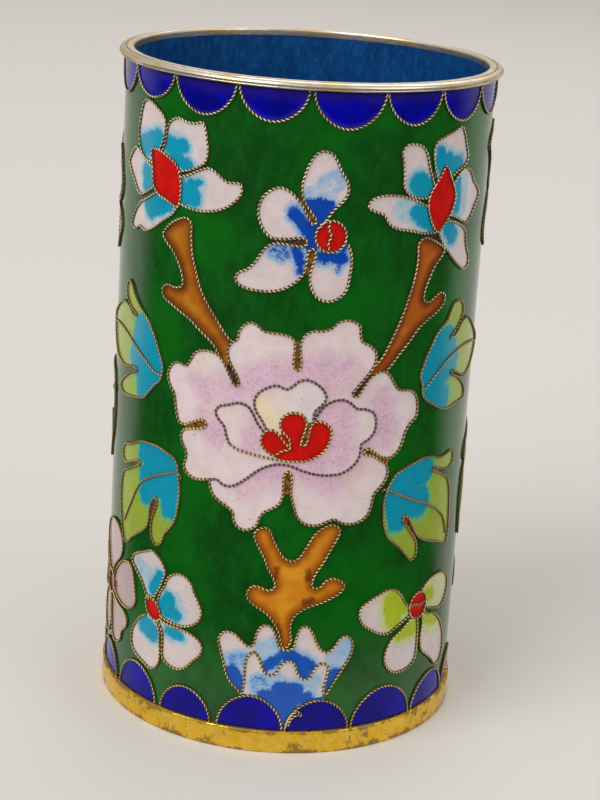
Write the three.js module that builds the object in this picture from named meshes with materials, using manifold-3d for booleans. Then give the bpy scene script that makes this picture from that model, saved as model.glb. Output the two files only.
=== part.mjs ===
// Cloisonne brush pot: a copper cylinder with a mouth rim and a foot ring, covered
// in enamel whose cells are fenced by bent wires. Millimetres, +Z up, origin at the
// centre of the underside. The spray of flowers faces -Y; the back is left plain.
import * as THREE from 'three';
import { mergeVertices } from 'three/addons/utils/BufferGeometryUtils.js';
import Module from 'manifold-3d';

const wasm = await Module();
wasm.setup();

// Driving dimensions
const HEIGHT = 120;
const FACETS = 32;
const LINING_INNER_R = 31.1;
const COPPER_INNER_R = 31.42;
const COPPER_OUTER_R = 32.08;
const GROUND_OUTER_R = 32.55;
const RIM_OUTER_R = 33.84;
const RIM_HEIGHT = 1.3;
const FOOT_OUTER_R = 33.35;
const FOOT_HEIGHT = 4.2;
const FOOT_WALL = 2.3;
const BASE_PLATE_Z = 2.5;
const BASE_PLATE_THICKNESS = 0.8;
const SEAM_GAP = 0.02;

// Enamel cells lie on the ground coat and the wires stand on the cells
const CELL_INNER_R = GROUND_OUTER_R + 0.03;
const CELL_OUTER_R = CELL_INNER_R + 0.14;
const WIRE_INNER_R = 32.84;
const WIRE_OUTER_R = 33.12;
const WIRE_WIDTH = 0.56;
const WIRE_TOLERANCE = 0.33;
const CELL_TOLERANCE = 0.55;
const NEIGHBOUR_GAP = 0.3;

// The ornament is drawn on the unrolled wall: s runs round it from the front
const ORNAMENT_R = 32.63;
const HALF_TURN = Math.PI * ORNAMENT_R;

// The drawing was read off as if the wires lay on the wall. They stand off it, so
// towards the sides of the pot they are set back round the wall.
const STANDOFF = 0.35;
const SIGHT_LEAN = 0.09;
const SHALLOWEST_SIGHT = 0.2;

// Scalloped borders: the cusps and far heights that the front shows; the rest are even
const SCALLOPS = 16;
const SCALLOP_STEPS = 4;
const UPPER_SCALLOPS = {
  cusps: [-37.1, -24.55, -11.95, 0.45, 13.15, 24.4, 36.4],
  farZs: [113.9, 112.9, 113.1, 112.5, 113.1, 113.1],
};
const LOWER_SCALLOPS = {
  cusps: [-49.3, -36.15, -22.85, -10.8, 2.05, 14.3, 28.5, 42.4],
  farZs: [9.9, 10.5, 9.8, 10.6, 10.1, 11.0, 10.0],
};
const BORDER_EDGE_GAP = 0.35;
const ENAMEL_SHARE = 0.94;

const COLOURS = {
  copper: [0x9c5a36, 0.45, 1],
  gold: [0xc79a4a, 0.35, 1],
  silver_gold: [0xb9b2a0, 0.3, 1],
  wire_gold: [0xd0a860, 0.35, 1],
  lining_blue: [0x0a4682, 0.3, 0],
  ground_green: [0x0f6420, 0.12, 0],
  border_blue: [0x0f05a0, 0.12, 0],
  petal_pink: [0xe1cdcd, 0.15, 0],
  peony_pink: [0xdcbccd, 0.15, 0],
  leaf_blue: [0x1496be, 0.15, 0],
  branch_amber: [0xbe6e14, 0.15, 0],
  cobalt: [0x0a4bb4, 0.15, 0],
};

// Outlines of the ornament, [s, z] along the centre of each wire
const PEONY_OUTLINE = [
  [0.15, 76.3], [0.1, 74.4], [0.1, 72.2], [0.7, 71.3], [1.3, 72.2], [1.05, 74.4], [1.1, 76.3], [1.7, 77.6],
  [3.0, 78.3], [4.8, 78.4], [6.2, 78.9], [7.1, 79.8], [8.5, 80.3], [10.0, 80.0], [11.1, 79.2], [11.3, 77.8],
  [11.7, 76.5], [13.2, 75.7], [14.4, 74.4], [14.5, 72.9], [13.8, 71.3], [12.7, 69.9], [11.5, 68.5],
  [10.6, 67.2], [11.4, 66.7], [12.4, 68.1], [13.3, 69.5], [14.3, 70.4], [15.6, 70.95], [16.8, 70.7],
  [17.7, 69.8], [18.6, 68.5], [19.5, 67.4], [20.8, 67.1], [22.1, 66.9], [23.2, 66.2], [23.9, 65.0],
  [24.2, 63.2], [23.9, 61.7], [22.6, 60.7], [21.7, 59.3], [21.2, 57.6], [20.3, 56.0], [18.9, 55.0],
  [17.2, 55.3], [15.6, 56.3], [14.4, 57.1], [13.5, 56.9], [13.7, 56.2], [15.2, 55.8], [16.8, 54.8],
  [18.1, 54.0], [18.5, 52.6], [18.1, 51.0], [17.0, 49.7], [16.0, 48.6], [15.7, 46.9], [15.0, 44.9],
  [13.4, 43.8], [11.6, 43.5], [10.2, 43.8], [8.8, 44.5], [7.6, 44.2], [6.3, 43.6], [4.7, 43.5],
  [3.2, 44.0], [2.2, 45.1], [1.5, 47.0], [0.9, 49.0], [0.9, 51.2], [0.75, 52.7], [0.2, 53.2],
  [-0.4, 52.6], [-0.45, 50.6], [-0.45, 48.6], [-1.0, 47.2], [-2.3, 46.2], [-3.6, 45.4], [-4.3, 44.3],
  [-4.7, 43.0], [-5.6, 42.2], [-6.9, 41.8], [-8.2, 42.3], [-8.9, 43.4], [-9.1, 44.7], [-10.2, 45.6],
  [-11.6, 46.3], [-12.9, 47.3], [-13.6, 48.7], [-13.9, 49.9], [-15.2, 49.6], [-16.9, 49.5], [-18.4, 50.2],
  [-19.1, 51.4], [-18.7, 53.0], [-18.9, 54.3], [-19.7, 55.4], [-20.0, 56.8], [-19.5, 57.9], [-18.0, 58.4],
  [-16.3, 58.8], [-15.1, 59.3], [-15.0, 60.1], [-16.0, 60.4], [-17.5, 59.7], [-19.2, 58.8], [-20.5, 59.0],
  [-21.2, 60.5], [-21.6, 62.3], [-22.0, 63.9], [-23.0, 65.1], [-23.6, 66.8], [-23.1, 68.4], [-22.1, 69.4],
  [-20.8, 69.6], [-19.6, 69.4], [-18.7, 70.5], [-18.0, 71.8], [-16.9, 72.6], [-15.4, 72.9], [-13.8, 72.7],
  [-12.6, 71.9], [-11.6, 70.4], [-10.7, 68.8], [-9.9, 67.6], [-9.2, 67.9], [-9.6, 69.3], [-10.5, 70.7],
  [-11.3, 72.2], [-11.5, 73.7], [-10.9, 75.0], [-9.9, 75.8], [-9.6, 77.3], [-8.6, 78.6], [-7.4, 79.0],
  [-6.3, 78.5], [-5.4, 77.8], [-4.2, 77.6], [-2.5, 77.5], [-0.7, 77.1],
];
const PEONY_FOLD = [
  [-13.9, 49.9], [-12.4, 50.2], [-11.2, 49.5], [-9.9, 49.4], [-8.4, 50.1], [-6.7, 51.5], [-5.2, 52.8],
  [-3.6, 53.8], [-1.6, 54.4], [0.6, 54.2], [2.5, 53.5], [4.7, 52.9], [7.0, 52.7], [9.3, 52.9], [11.2, 53.9],
  [12.4, 55.3], [12.8, 56.8], [12.9, 58.1], [14.2, 58.9], [15.2, 60.2], [15.4, 62.0], [14.8, 63.6],
  [13.4, 64.3], [11.6, 64.6], [10.4, 65.6], [9.1, 66.2], [7.3, 66.0], [5.7, 65.0], [4.7, 63.6], [4.0, 62.1],
];
const PEONY_TOP_PETAL = [
  [-3.8, 60.3], [-5.0, 62.3], [-6.0, 63.8], [-6.3, 65.3], [-5.7, 66.7], [-4.3, 67.8], [-2.5, 68.4],
  [-0.9, 67.9], [0.2, 68.5], [1.2, 69.4], [2.6, 69.7], [4.1, 69.1], [5.4, 68.0], [6.0, 66.6],
  [5.4, 65.4], [4.2, 64.2], [4.0, 62.1],
];
const PEONY_LEFT_PETAL = [
  [-4.25, 59.85], [-5.6, 61.5], [-6.5, 63.1], [-7.4, 64.2], [-9.0, 64.6], [-10.9, 64.0], [-12.6, 63.4],
  [-13.2, 62.4], [-12.6, 61.2], [-11.5, 60.1], [-11.0, 58.5], [-10.4, 57.1], [-8.9, 56.3], [-6.8, 55.9],
  [-4.2, 55.5], [-1.9, 55.2], [0.8, 55.1], [3.2, 55.3], [5.0, 56.1], [6.3, 57.3], [7.1, 59.1],
  [7.2, 60.8], [6.4, 61.9], [5.0, 62.4], [4.0, 62.1], [3.4, 60.4], [3.2, 58.9], [2.7, 57.9],
];
const PEONY_MIDDLE_SEED = [
  [2.0, 58.1], [2.3, 59.4], [2.7, 60.9], [2.85, 62.1], [2.3, 63.3], [1.1, 63.8], [-0.3, 63.6], [-1.4, 62.6],
  [-1.6, 61.2], [-0.9, 60.1], [0.0, 59.2], [0.3, 57.4],
];
const PEONY_LEFT_SEED = [
  [0.3, 57.4], [-1.2, 56.8], [-2.4, 56.0], [-3.8, 56.7], [-4.7, 58.0], [-4.6, 59.3], [-3.8, 60.3],
  [-2.6, 60.4], [-1.7, 59.7], [-0.6, 58.3],
];
const PRUNUS_LEFT_HEART = [
  [-30.4, 105.0], [-28.4, 105.3], [-25.6, 104.5], [-23.4, 103.3], [-22.5, 101.0], [-22.4, 98.4],
  [-22.9, 96.5], [-25.4, 97.1], [-28.2, 97.9], [-29.6, 99.3], [-29.9, 101.8],
];
const PRUNUS_LEFT_PETALS = [
  [[-30.2, 102.8], [-32.7, 103.2], [-34.6, 104.8], [-35.2, 107.2], [-34.8, 109.6], [-34.2, 111.5],
    [-33.4, 112.8], [-32.1, 113.2], [-30.4, 112.8], [-28.5, 111.9], [-27.2, 111.0], [-26.7, 109.8],
    [-27.0, 107.8], [-27.5, 106.4], [-28.3, 105.3]],
  [[-22.8, 102.6], [-20.6, 103.2], [-18.6, 104.1], [-17.4, 105.1], [-17.0, 106.9], [-17.3, 108.8],
    [-17.7, 110.6], [-18.3, 111.5], [-19.6, 111.2], [-21.5, 111.1], [-23.5, 111.5], [-25.2, 110.8],
    [-26.1, 109.6], [-26.4, 108.0], [-26.8, 106.5], [-27.3, 105.2]],
  [[-22.4, 101.7], [-20.4, 102.5], [-18.7, 103.4], [-16.6, 104.1], [-15.0, 103.4], [-13.2, 102.3],
    [-10.7, 102.2], [-10.4, 100.9], [-11.6, 99.1], [-14.0, 97.5], [-17.2, 96.7], [-20.2, 96.7],
    [-22.7, 97.2]],
  [[-30.0, 102.0], [-32.4, 102.9], [-34.4, 103.9], [-36.2, 104.4], [-38.0, 103.2], [-39.6, 101.4],
    [-38.4, 100.0], [-36.6, 98.6], [-35.0, 97.1], [-33.6, 96.7], [-31.6, 97.5], [-29.2, 98.8]],
  [[-28.6, 97.9], [-31.2, 96.5], [-33.6, 95.3], [-35.6, 93.4], [-37.0, 90.6], [-35.4, 90.3],
    [-33.8, 91.1], [-31.6, 90.7], [-29.4, 91.6], [-26.6, 93.4], [-24.0, 95.2], [-22.9, 96.7]],
];
const PRUNUS_RIGHT_HEART = [
  [26.7, 105.7], [28.2, 103.6], [29.5, 101.5], [29.9, 99.8], [29.0, 97.5], [27.3, 95.6], [25.8, 94.4],
  [24.6, 95.4], [23.6, 97.2], [22.9, 99.6], [23.5, 101.7], [25.2, 103.8],
];
const PRUNUS_RIGHT_PETALS = [
  [[23.0, 100.6], [20.8, 100.7], [18.9, 101.3], [17.6, 102.6], [17.3, 105.0], [17.0, 107.2],
    [16.7, 108.7], [17.6, 109.8], [19.2, 109.9], [20.8, 109.4], [21.9, 108.0], [22.6, 105.9],
    [24.1, 102.4]],
  [[28.2, 103.7], [30.2, 104.6], [32.4, 105.5], [33.1, 106.6], [32.3, 108.6], [31.2, 111.0],
    [30.3, 112.0], [28.4, 111.5], [26.0, 110.8], [24.0, 110.0], [23.4, 108.8], [23.7, 106.4],
    [24.8, 103.3]],
  [[29.0, 102.3], [30.6, 103.9], [32.6, 104.7], [34.6, 104.0], [36.2, 102.1], [38.6, 100.4],
    [39.3, 99.2], [37.2, 97.2], [36.0, 95.8], [34.6, 95.0], [33.0, 95.4], [31.0, 96.3], [28.9, 97.1]],
  [[28.1, 96.2], [31.1, 95.4], [33.4, 94.3], [34.5, 93.3], [34.9, 91.5], [35.7, 90.0], [36.7, 88.5],
    [36.5, 87.1], [34.9, 86.7], [33.0, 87.5], [31.1, 88.8], [29.3, 90.4], [28.0, 91.5], [26.5, 93.5],
    [25.9, 94.4]],
  [[25.6, 94.5], [22.6, 94.5], [19.6, 95.2], [16.6, 95.8], [15.1, 96.7], [14.0, 98.2], [12.4, 98.8],
    [11.1, 99.6], [11.6, 100.8], [14.0, 101.5], [17.0, 101.3], [19.8, 100.5], [23.1, 99.0]],
];
const BLUE_BLOSSOM_WIRE = [
  [3.1, 96.2], [4.2, 97.6], [5.3, 99.2], [6.8, 100.7], [7.5, 102.2], [7.2, 103.9], [6.2, 105.4],
  [5.3, 107.2], [4.4, 108.4], [2.9, 108.8], [1.7, 108.2], [0.7, 106.6], [0.1, 104.9], [-0.3, 103.1],
  [-0.2, 101.5], [0.5, 99.9], [1.5, 98.5], [2.4, 97.1], [1.9, 96.5], [0.9, 97.9], [-0.1, 99.7],
  [-1.2, 100.9], [-2.2, 101.8], [-4.0, 102.4], [-5.7, 101.6], [-6.8, 100.4], [-7.4, 98.3],
  [-7.0, 96.3], [-6.0, 94.6], [-4.7, 93.8], [-2.6, 93.8], [-0.4, 94.1], [0.6, 94.1], [1.1, 93.4],
  [0.5, 92.8], [-1.0, 92.8], [-2.9, 93.0], [-4.3, 93.0], [-5.8, 92.1], [-6.7, 90.8], [-7.6, 89.3],
  [-8.8, 88.1], [-10.3, 87.3], [-10.8, 86.4], [-10.4, 85.5], [-8.8, 84.8], [-6.7, 84.6], [-4.5, 84.7],
  [-2.4, 85.3], [-0.6, 86.5], [0.6, 87.8], [1.1, 89.2], [1.2, 90.8], [1.5, 92.1], [2.3, 92.4],
  [2.6, 91.3], [2.2, 89.7], [1.9, 88.3], [1.9, 86.7], [2.5, 85.1], [3.6, 83.9], [5.3, 83.5],
  [7.1, 84.2], [8.2, 85.5], [8.6, 87.4], [8.8, 89.5], [8.7, 91.5], [8.0, 93.4],
];
const BLUE_BLOSSOM_HEART = { s: 5.0, z: 94.6, halfWidth: 2.6, halfHeight: 2.7 };
const SMALL_LEFT_HEART = { s: -25.0, z: 22.3, halfWidth: 2.2, halfHeight: 1.9 };
const SMALL_LEFT_PETALS = [
  [[-26.2, 23.9], [-26.9, 24.5], [-28.6, 26.8], [-30.5, 28.4], [-31.9, 29.7], [-31.3, 30.9],
    [-29.4, 32.0], [-27.5, 32.8], [-26.0, 33.4], [-24.3, 32.8], [-23.0, 31.7], [-22.3, 30.3],
    [-22.7, 29.0], [-23.4, 27.2], [-24.5, 25.3], [-24.9, 24.2]],
  [[-24.0, 24.1], [-23.3, 26.2], [-22.4, 27.6], [-21.8, 29.2], [-20.7, 30.3], [-19.1, 31.0],
    [-17.5, 30.6], [-16.4, 29.7], [-15.7, 28.2], [-14.8, 26.6], [-14.1, 24.7], [-14.7, 23.0],
    [-16.0, 21.9], [-17.9, 21.2], [-20.5, 21.2], [-23.0, 21.6]],
  [[-23.5, 21.0], [-20.7, 20.6], [-18.5, 20.6], [-16.4, 20.3], [-14.8, 19.6], [-13.7, 18.3],
    [-14.0, 16.7], [-15.3, 15.3], [-16.6, 13.8], [-18.4, 12.7], [-20.7, 12.9], [-22.1, 13.9],
    [-22.3, 16.0], [-22.4, 18.5], [-23.7, 20.8]],
  [[-26.8, 20.8], [-28.5, 19.7], [-30.0, 18.0], [-31.0, 16.5], [-31.3, 14.6], [-30.6, 12.7],
    [-28.7, 11.7], [-27.1, 11.2], [-25.5, 10.7], [-24.1, 11.1], [-23.1, 12.6], [-22.9, 14.6],
    [-23.1, 16.7], [-23.2, 18.6], [-24.2, 20.5]],
];
const SMALL_RIGHT_HEART = { s: 28.8, z: 25.1, halfWidth: 2.5, halfHeight: 2.55 };
const SMALL_RIGHT_PETALS = [
  [[26.8, 23.8], [24.7, 22.9], [22.9, 22.1], [21.4, 21.4], [19.4, 21.7], [17.5, 22.75], [15.8, 24.0],
    [14.9, 25.6], [15.1, 27.3], [16.7, 28.4], [18.7, 29.3], [20.6, 29.9], [22.4, 29.5], [23.9, 28.2],
    [25.0, 26.6], [26.3, 25.3]],
  [[27.3, 23.2], [25.5, 21.9], [24.1, 21.0], [22.4, 20.0], [21.3, 18.2], [21.0, 16.2], [21.7, 14.6],
    [23.4, 13.3], [25.4, 13.0], [27.5, 13.4], [29.0, 14.5], [29.3, 16.4], [29.3, 18.6], [29.2, 20.8],
    [28.8, 22.6]],
  [[30.2, 22.9], [30.6, 21.5], [30.4, 18.0], [31.0, 15.7], [32.7, 14.2], [35.0, 12.6], [36.9, 10.9],
    [39.2, 10.5], [41.0, 12.0], [41.2, 14.2], [40.4, 16.1], [38.8, 18.4], [36.9, 20.3], [34.6, 21.8],
    [31.8, 22.6], [30.9, 23.5]],
  [[29.6, 27.4], [30.6, 28.6], [32.3, 29.3], [34.5, 29.5], [36.8, 29.3], [39.0, 28.4], [40.5, 27.0],
    [40.8, 25.2], [39.6, 23.3], [37.0, 22.3], [34.8, 22.8], [32.8, 23.4], [31.2, 24.1]],
];
const SIDE_BLOSSOM_HEART = { s: -42.8, z: 21.7, halfWidth: 2.2, halfHeight: 2.2 };
const SIDE_BLOSSOM_PETALS = [
  [[-42.0, 23.75], [-40.4, 25.8], [-38.4, 27.3], [-36.8, 28.8], [-36.3, 30.8], [-36.9, 32.5],
    [-38.7, 33.9], [-41.2, 34.3], [-43.8, 33.8], [-46.2, 32.7], [-48.0, 30.6], [-47.7, 28.2],
    [-45.6, 26.0], [-43.8, 23.7]],
  [[-40.9, 22.9], [-39.2, 25.4], [-37.1, 27.2], [-35.0, 28.3], [-33.0, 28.6], [-31.8, 27.6],
    [-31.2, 25.9], [-30.7, 24.0], [-30.4, 22.2], [-31.3, 20.6], [-33.4, 19.6], [-35.8, 19.6],
    [-38.5, 20.2], [-40.7, 21.2]],
  [[-41.3, 20.1], [-39.4, 19.3], [-36.8, 18.7], [-34.6, 18.3], [-33.4, 17.2], [-33.8, 15.6],
    [-35.5, 14.2], [-36.2, 12.2], [-37.6, 11.3], [-39.7, 11.1], [-41.2, 12.8], [-41.7, 15.5],
    [-42.0, 18.0], [-42.2, 19.7]],
  [[-43.0, 19.5], [-42.8, 17.0], [-42.6, 13.8], [-43.4, 11.8], [-45.4, 10.9], [-47.7, 11.6],
    [-49.1, 13.4], [-49.0, 15.7], [-47.2, 17.8], [-44.6, 20.3]],
  [[-44.9, 22.0], [-46.5, 24.2], [-49.2, 26.0], [-51.8, 25.8], [-53.0, 23.6], [-52.6, 21.0],
    [-50.2, 19.4], [-47.4, 19.2], [-45.0, 20.9]],
];
const LEAF_UPPER_LEFT = [
  [-25.0, 67.8], [-25.6, 69.4], [-26.7, 71.4], [-27.9, 73.3], [-29.4, 75.1], [-31.2, 76.2],
  [-33.1, 77.3], [-34.7, 78.6], [-36.0, 80.0], [-37.6, 80.5], [-38.5, 79.3], [-38.1, 77.6],
  [-36.6, 76.2], [-34.8, 75.6], [-33.5, 75.2], [-34.9, 74.9], [-37.2, 75.9], [-39.4, 76.2],
  [-42.0, 75.6], [-44.4, 74.4], [-46.8, 72.9], [-49.0, 71.2], [-47.4, 68.8], [-45.6, 66.8],
  [-43.7, 65.6], [-41.5, 65.0], [-38.8, 64.7], [-36.2, 65.1], [-33.4, 65.6], [-32.8, 65.2],
  [-33.6, 64.8], [-35.6, 64.0], [-37.6, 62.9], [-39.4, 61.9], [-40.7, 60.5], [-39.6, 59.7],
  [-37.4, 59.6], [-34.8, 59.9], [-32.2, 60.4], [-30.1, 61.0], [-28.5, 62.5], [-27.0, 64.1],
  [-25.5, 65.4],
];
const LEAF_UPPER_LEFT_VEIN = [
  [-25.2, 66.3], [-27.0, 66.4], [-29.4, 67.6], [-32.4, 68.9], [-35.4, 70.2], [-39.2, 71.2],
  [-42.6, 71.4], [-46.0, 71.0],
];
const LEAF_UPPER_RIGHT = [
  [24.9, 67.5], [24.3, 69.0], [24.8, 70.8], [25.6, 72.6], [26.7, 74.4], [27.7, 76.0], [29.2, 77.2],
  [30.7, 78.1], [31.6, 79.5], [32.6, 80.8], [34.3, 81.1], [35.9, 80.5], [36.6, 79.0], [35.9, 77.5],
  [34.6, 76.3], [33.2, 75.6], [32.3, 74.8], [33.4, 74.7], [34.9, 75.4], [36.4, 76.6], [38.6, 77.2],
  [40.9, 76.6], [43.2, 75.1], [45.6, 73.5], [47.6, 72.2], [49.2, 70.7], [47.2, 69.2], [45.2, 68.0],
  [43.0, 66.9], [40.6, 66.3], [38.2, 66.7], [35.6, 67.8], [33.8, 68.4], [33.6, 67.9], [35.6, 67.0],
  [37.9, 65.8], [39.7, 64.6], [40.9, 63.3], [40.9, 62.2], [38.8, 61.9], [36.2, 61.9], [33.4, 61.6],
  [30.8, 62.1], [28.4, 63.2], [26.5, 64.3], [25.2, 65.6],
];
const LEAF_UPPER_RIGHT_VEIN = [
  [25.1, 66.3], [26.8, 67.5], [28.8, 69.1], [30.9, 70.4], [33.4, 71.4], [36.5, 72.1], [40.2, 72.2],
  [44.0, 71.8], [46.4, 71.2],
];
const LEAF_LOWER_LEFT = [
  [-20.5, 50.9], [-21.4, 52.1], [-23.2, 52.7], [-25.6, 53.2], [-28.2, 53.1], [-30.6, 52.7],
  [-32.8, 51.7], [-34.9, 50.9], [-36.6, 50.4], [-37.7, 49.1], [-37.3, 47.6], [-36.1, 47.1],
  [-34.3, 47.7], [-32.6, 48.4], [-31.0, 48.9], [-30.4, 48.5], [-31.4, 47.9], [-33.2, 47.0],
  [-35.2, 46.0], [-36.9, 45.2], [-37.8, 43.2], [-38.0, 40.6], [-37.7, 38.1], [-37.1, 35.9],
  [-36.5, 33.8], [-35.6, 32.3], [-34.1, 32.4], [-32.9, 33.6], [-31.0, 34.9], [-29.2, 36.1],
  [-27.8, 37.4], [-27.2, 39.2], [-27.0, 41.2], [-26.4, 42.9], [-25.4, 43.6], [-25.1, 42.6],
  [-25.7, 40.9], [-26.4, 39.0], [-26.5, 37.2], [-26.0, 35.5], [-24.9, 34.8], [-23.7, 35.6],
  [-23.0, 37.4], [-21.8, 38.9], [-20.8, 40.4], [-20.2, 42.4], [-19.9, 44.8], [-19.9, 47.2],
  [-20.3, 49.2],
];
const LEAF_LOWER_LEFT_VEIN = [
  [-20.5, 49.9], [-22.3, 49.1], [-25.0, 48.0], [-27.8, 46.6], [-30.1, 45.1], [-31.9, 42.7],
  [-33.4, 40.1], [-35.0, 37.6], [-36.0, 36.0],
];
const LEAF_LOWER_RIGHT = [
  [19.3, 50.3], [20.4, 51.7], [22.2, 52.5], [24.4, 53.1], [26.8, 53.6], [29.4, 53.3], [31.8, 52.6],
  [34.2, 52.6], [36.2, 52.9], [37.6, 52.1], [37.5, 50.6], [36.0, 49.8], [34.2, 50.0], [32.2, 50.6],
  [30.4, 51.1], [29.9, 50.7], [31.4, 50.0], [33.2, 49.2], [35.0, 48.3], [36.5, 46.7], [37.4, 44.4],
  [37.9, 41.6], [38.2, 38.8], [38.1, 36.2], [37.3, 34.8], [35.6, 35.3], [33.6, 36.2], [31.2, 36.9],
  [28.9, 37.7], [27.1, 38.8], [25.9, 40.2], [24.9, 41.8], [23.9, 43.2], [22.9, 43.4], [22.7, 42.6],
  [23.9, 41.4], [25.1, 39.9], [26.2, 38.6], [26.9, 36.8], [26.7, 35.1], [25.6, 34.6], [24.2, 35.9],
  [22.7, 37.4], [21.0, 38.8], [19.5, 40.2], [18.6, 42.4], [18.3, 44.8], [18.2, 47.2], [18.7, 48.9],
];
const LEAF_LOWER_RIGHT_VEIN = [
  [18.9, 49.2], [20.6, 48.2], [22.9, 47.1], [25.6, 45.9], [28.3, 44.9], [30.6, 43.7], [32.9, 42.4],
  [35.0, 40.7], [36.4, 38.6], [37.1, 36.8],
];
const BRANCH_LEFT_LEFT_SIDE = [
  [-20.9, 95.0], [-22.3, 94.6], [-23.8, 93.8], [-25.0, 92.8], [-26.2, 91.2], [-25.2, 90.0],
  [-23.8, 89.0], [-22.4, 87.3], [-21.3, 85.2], [-21.1, 83.3], [-22.6, 82.6], [-24.6, 82.7],
  [-25.8, 81.8], [-25.4, 80.4], [-23.7, 79.6], [-21.5, 78.7], [-19.2, 77.7], [-16.9, 76.1],
  [-15.1, 74.9], [-13.9, 73.8],
];
const BRANCH_LEFT_RIGHT_SIDE = [
  [-19.8, 94.4], [-19.6, 91.9], [-19.25, 89.2], [-18.4, 86.5], [-17.2, 83.4], [-15.7, 81.0],
  [-14.2, 79.1], [-12.8, 77.3], [-11.6, 75.9],
];
const BRANCH_RIGHT_LEFT_SIDE = [
  [22.8, 93.7], [21.5, 93.0], [21.5, 89.9], [21.0, 86.6], [20.2, 83.8], [19.4, 81.4], [18.3, 78.7],
  [17.0, 76.0], [15.7, 73.6],
];
const BRANCH_RIGHT_RIGHT_SIDE = [
  [24.3, 93.2], [25.5, 92.4], [26.9, 91.2], [26.9, 90.1], [25.6, 88.4], [24.4, 86.2], [23.6, 84.1],
  [23.7, 82.7], [24.9, 82.3], [26.4, 83.0], [27.9, 83.6], [29.1, 82.9], [28.9, 81.5], [27.1, 80.2],
  [24.8, 79.1], [22.8, 77.8], [21.0, 75.8], [19.1, 73.8], [17.9, 72.4],
];
const TRUNK = [
  [1.1, 20.4], [1.9, 20.6], [2.5, 21.8], [2.3, 23.3], [2.3, 25.0], [2.8, 26.4], [4.0, 27.5], [5.5, 28.3],
  [7.8, 29.1], [9.6, 30.0], [10.9, 30.8], [11.5, 32.0], [10.5, 33.1], [9.2, 33.5], [8.0, 33.1],
  [7.1, 32.0], [5.9, 31.8], [5.6, 32.9], [6.3, 34.8], [7.5, 36.8], [8.6, 39.1], [9.4, 40.6], [10.0, 42.2],
  [9.6, 43.1], [8.4, 43.6], [6.7, 42.9], [5.5, 41.8], [4.4, 39.8], [3.2, 37.7], [2.1, 36.8], [0.5, 37.3],
  [-0.6, 38.7], [-1.8, 41.0], [-2.3, 42.2], [-3.1, 42.7], [-4.5, 42.2], [-5.0, 41.4], [-4.9, 40.6],
  [-4.3, 39.3], [-3.1, 37.2], [-2.3, 35.2], [-1.4, 33.7], [-0.9, 32.2], [-1.2, 31.4], [-2.2, 31.1],
  [-3.7, 31.6], [-4.8, 31.6], [-5.6, 30.6], [-5.7, 29.5], [-4.7, 28.3], [-2.9, 27.2], [-1.6, 26.2],
  [-0.6, 24.8], [0.2, 23.3], [0.7, 21.4],
];
const ROCK_OUTER = [
  [-5.9, 10.7], [-6.6, 11.6], [-7.7, 12.5], [-8.7, 14.1], [-9.5, 16.8], [-10.2, 19.1], [-10.5, 20.8],
  [-9.5, 22.2], [-7.8, 22.2], [-6.3, 21.0], [-5.0, 20.1], [-4.1, 20.6], [-3.7, 22.6], [-2.9, 24.1],
  [-1.8, 24.5], [-0.7, 23.7], [0.0, 22.0], [0.6, 20.4], [1.8, 19.9], [2.9, 20.4], [3.4, 22.4], [4.2, 24.3],
  [5.3, 24.5], [6.2, 23.4], [7.0, 21.7], [8.0, 20.0], [9.2, 19.4], [10.3, 20.2], [11.3, 21.7],
  [12.5, 22.3], [13.7, 21.4], [14.0, 20.2], [13.6, 18.3], [12.5, 16.4], [10.9, 13.7], [9.3, 10.9],
];
const ROCK_INNER = [
  [-5.7, 10.9], [-5.4, 13.3], [-5.4, 16.0], [-5.0, 18.1], [-3.9, 19.1], [-2.9, 17.9], [-2.2, 16.0],
  [-1.2, 14.9], [0.0, 15.2], [0.9, 16.8], [2.3, 17.9], [3.4, 17.3], [4.0, 15.6], [5.2, 14.3], [6.3, 14.7],
  [7.1, 16.4], [8.4, 17.3], [9.5, 16.6], [9.4, 14.8], [9.0, 12.5], [9.1, 11.0],
];
const ROCK_FOOT = [[8.9, 11.0], [6.2, 10.6], [3.7, 8.6], [2.1, 6.0], [0.6, 8.6], [-2.0, 11.0], [-5.6, 11.2]];

// Paths on the unrolled wall
function ellipse({ s, z, halfWidth, halfHeight }) {
  const POINTS = 9;
  return Array.from({ length: POINTS }, (_, i) => {
    const angle = (i / POINTS) * 2 * Math.PI;
    return [s + halfWidth * Math.cos(angle), z + halfHeight * Math.sin(angle)];
  });
}

function offLine([s, z], [s0, z0], [s1, z1]) {
  const SHORTEST = 1e-6;
  const length = Math.hypot(s1 - s0, z1 - z0);
  if (length < SHORTEST) return Math.hypot(s - s0, z - z0);
  const along = ((s - s0) * (s1 - s0) + (z - z0) * (z1 - z0)) / length ** 2;
  const t = Math.min(1, Math.max(0, along));
  return Math.hypot(s - s0 - t * (s1 - s0), z - z0 - t * (z1 - z0));
}

function thin(points, tolerance) {
  if (points.length < 3) return points;
  const first = points[0];
  const last = points[points.length - 1];
  let far = 0;
  let farthest = 0;
  points.forEach((point, i) => {
    const distance = offLine(point, first, last);
    if (distance > farthest) {
      farthest = distance;
      far = i;
    }
  });
  if (farthest <= tolerance) return [first, last];
  return [
    ...thin(points.slice(0, far + 1), tolerance).slice(0, -1),
    ...thin(points.slice(far), tolerance),
  ];
}

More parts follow.
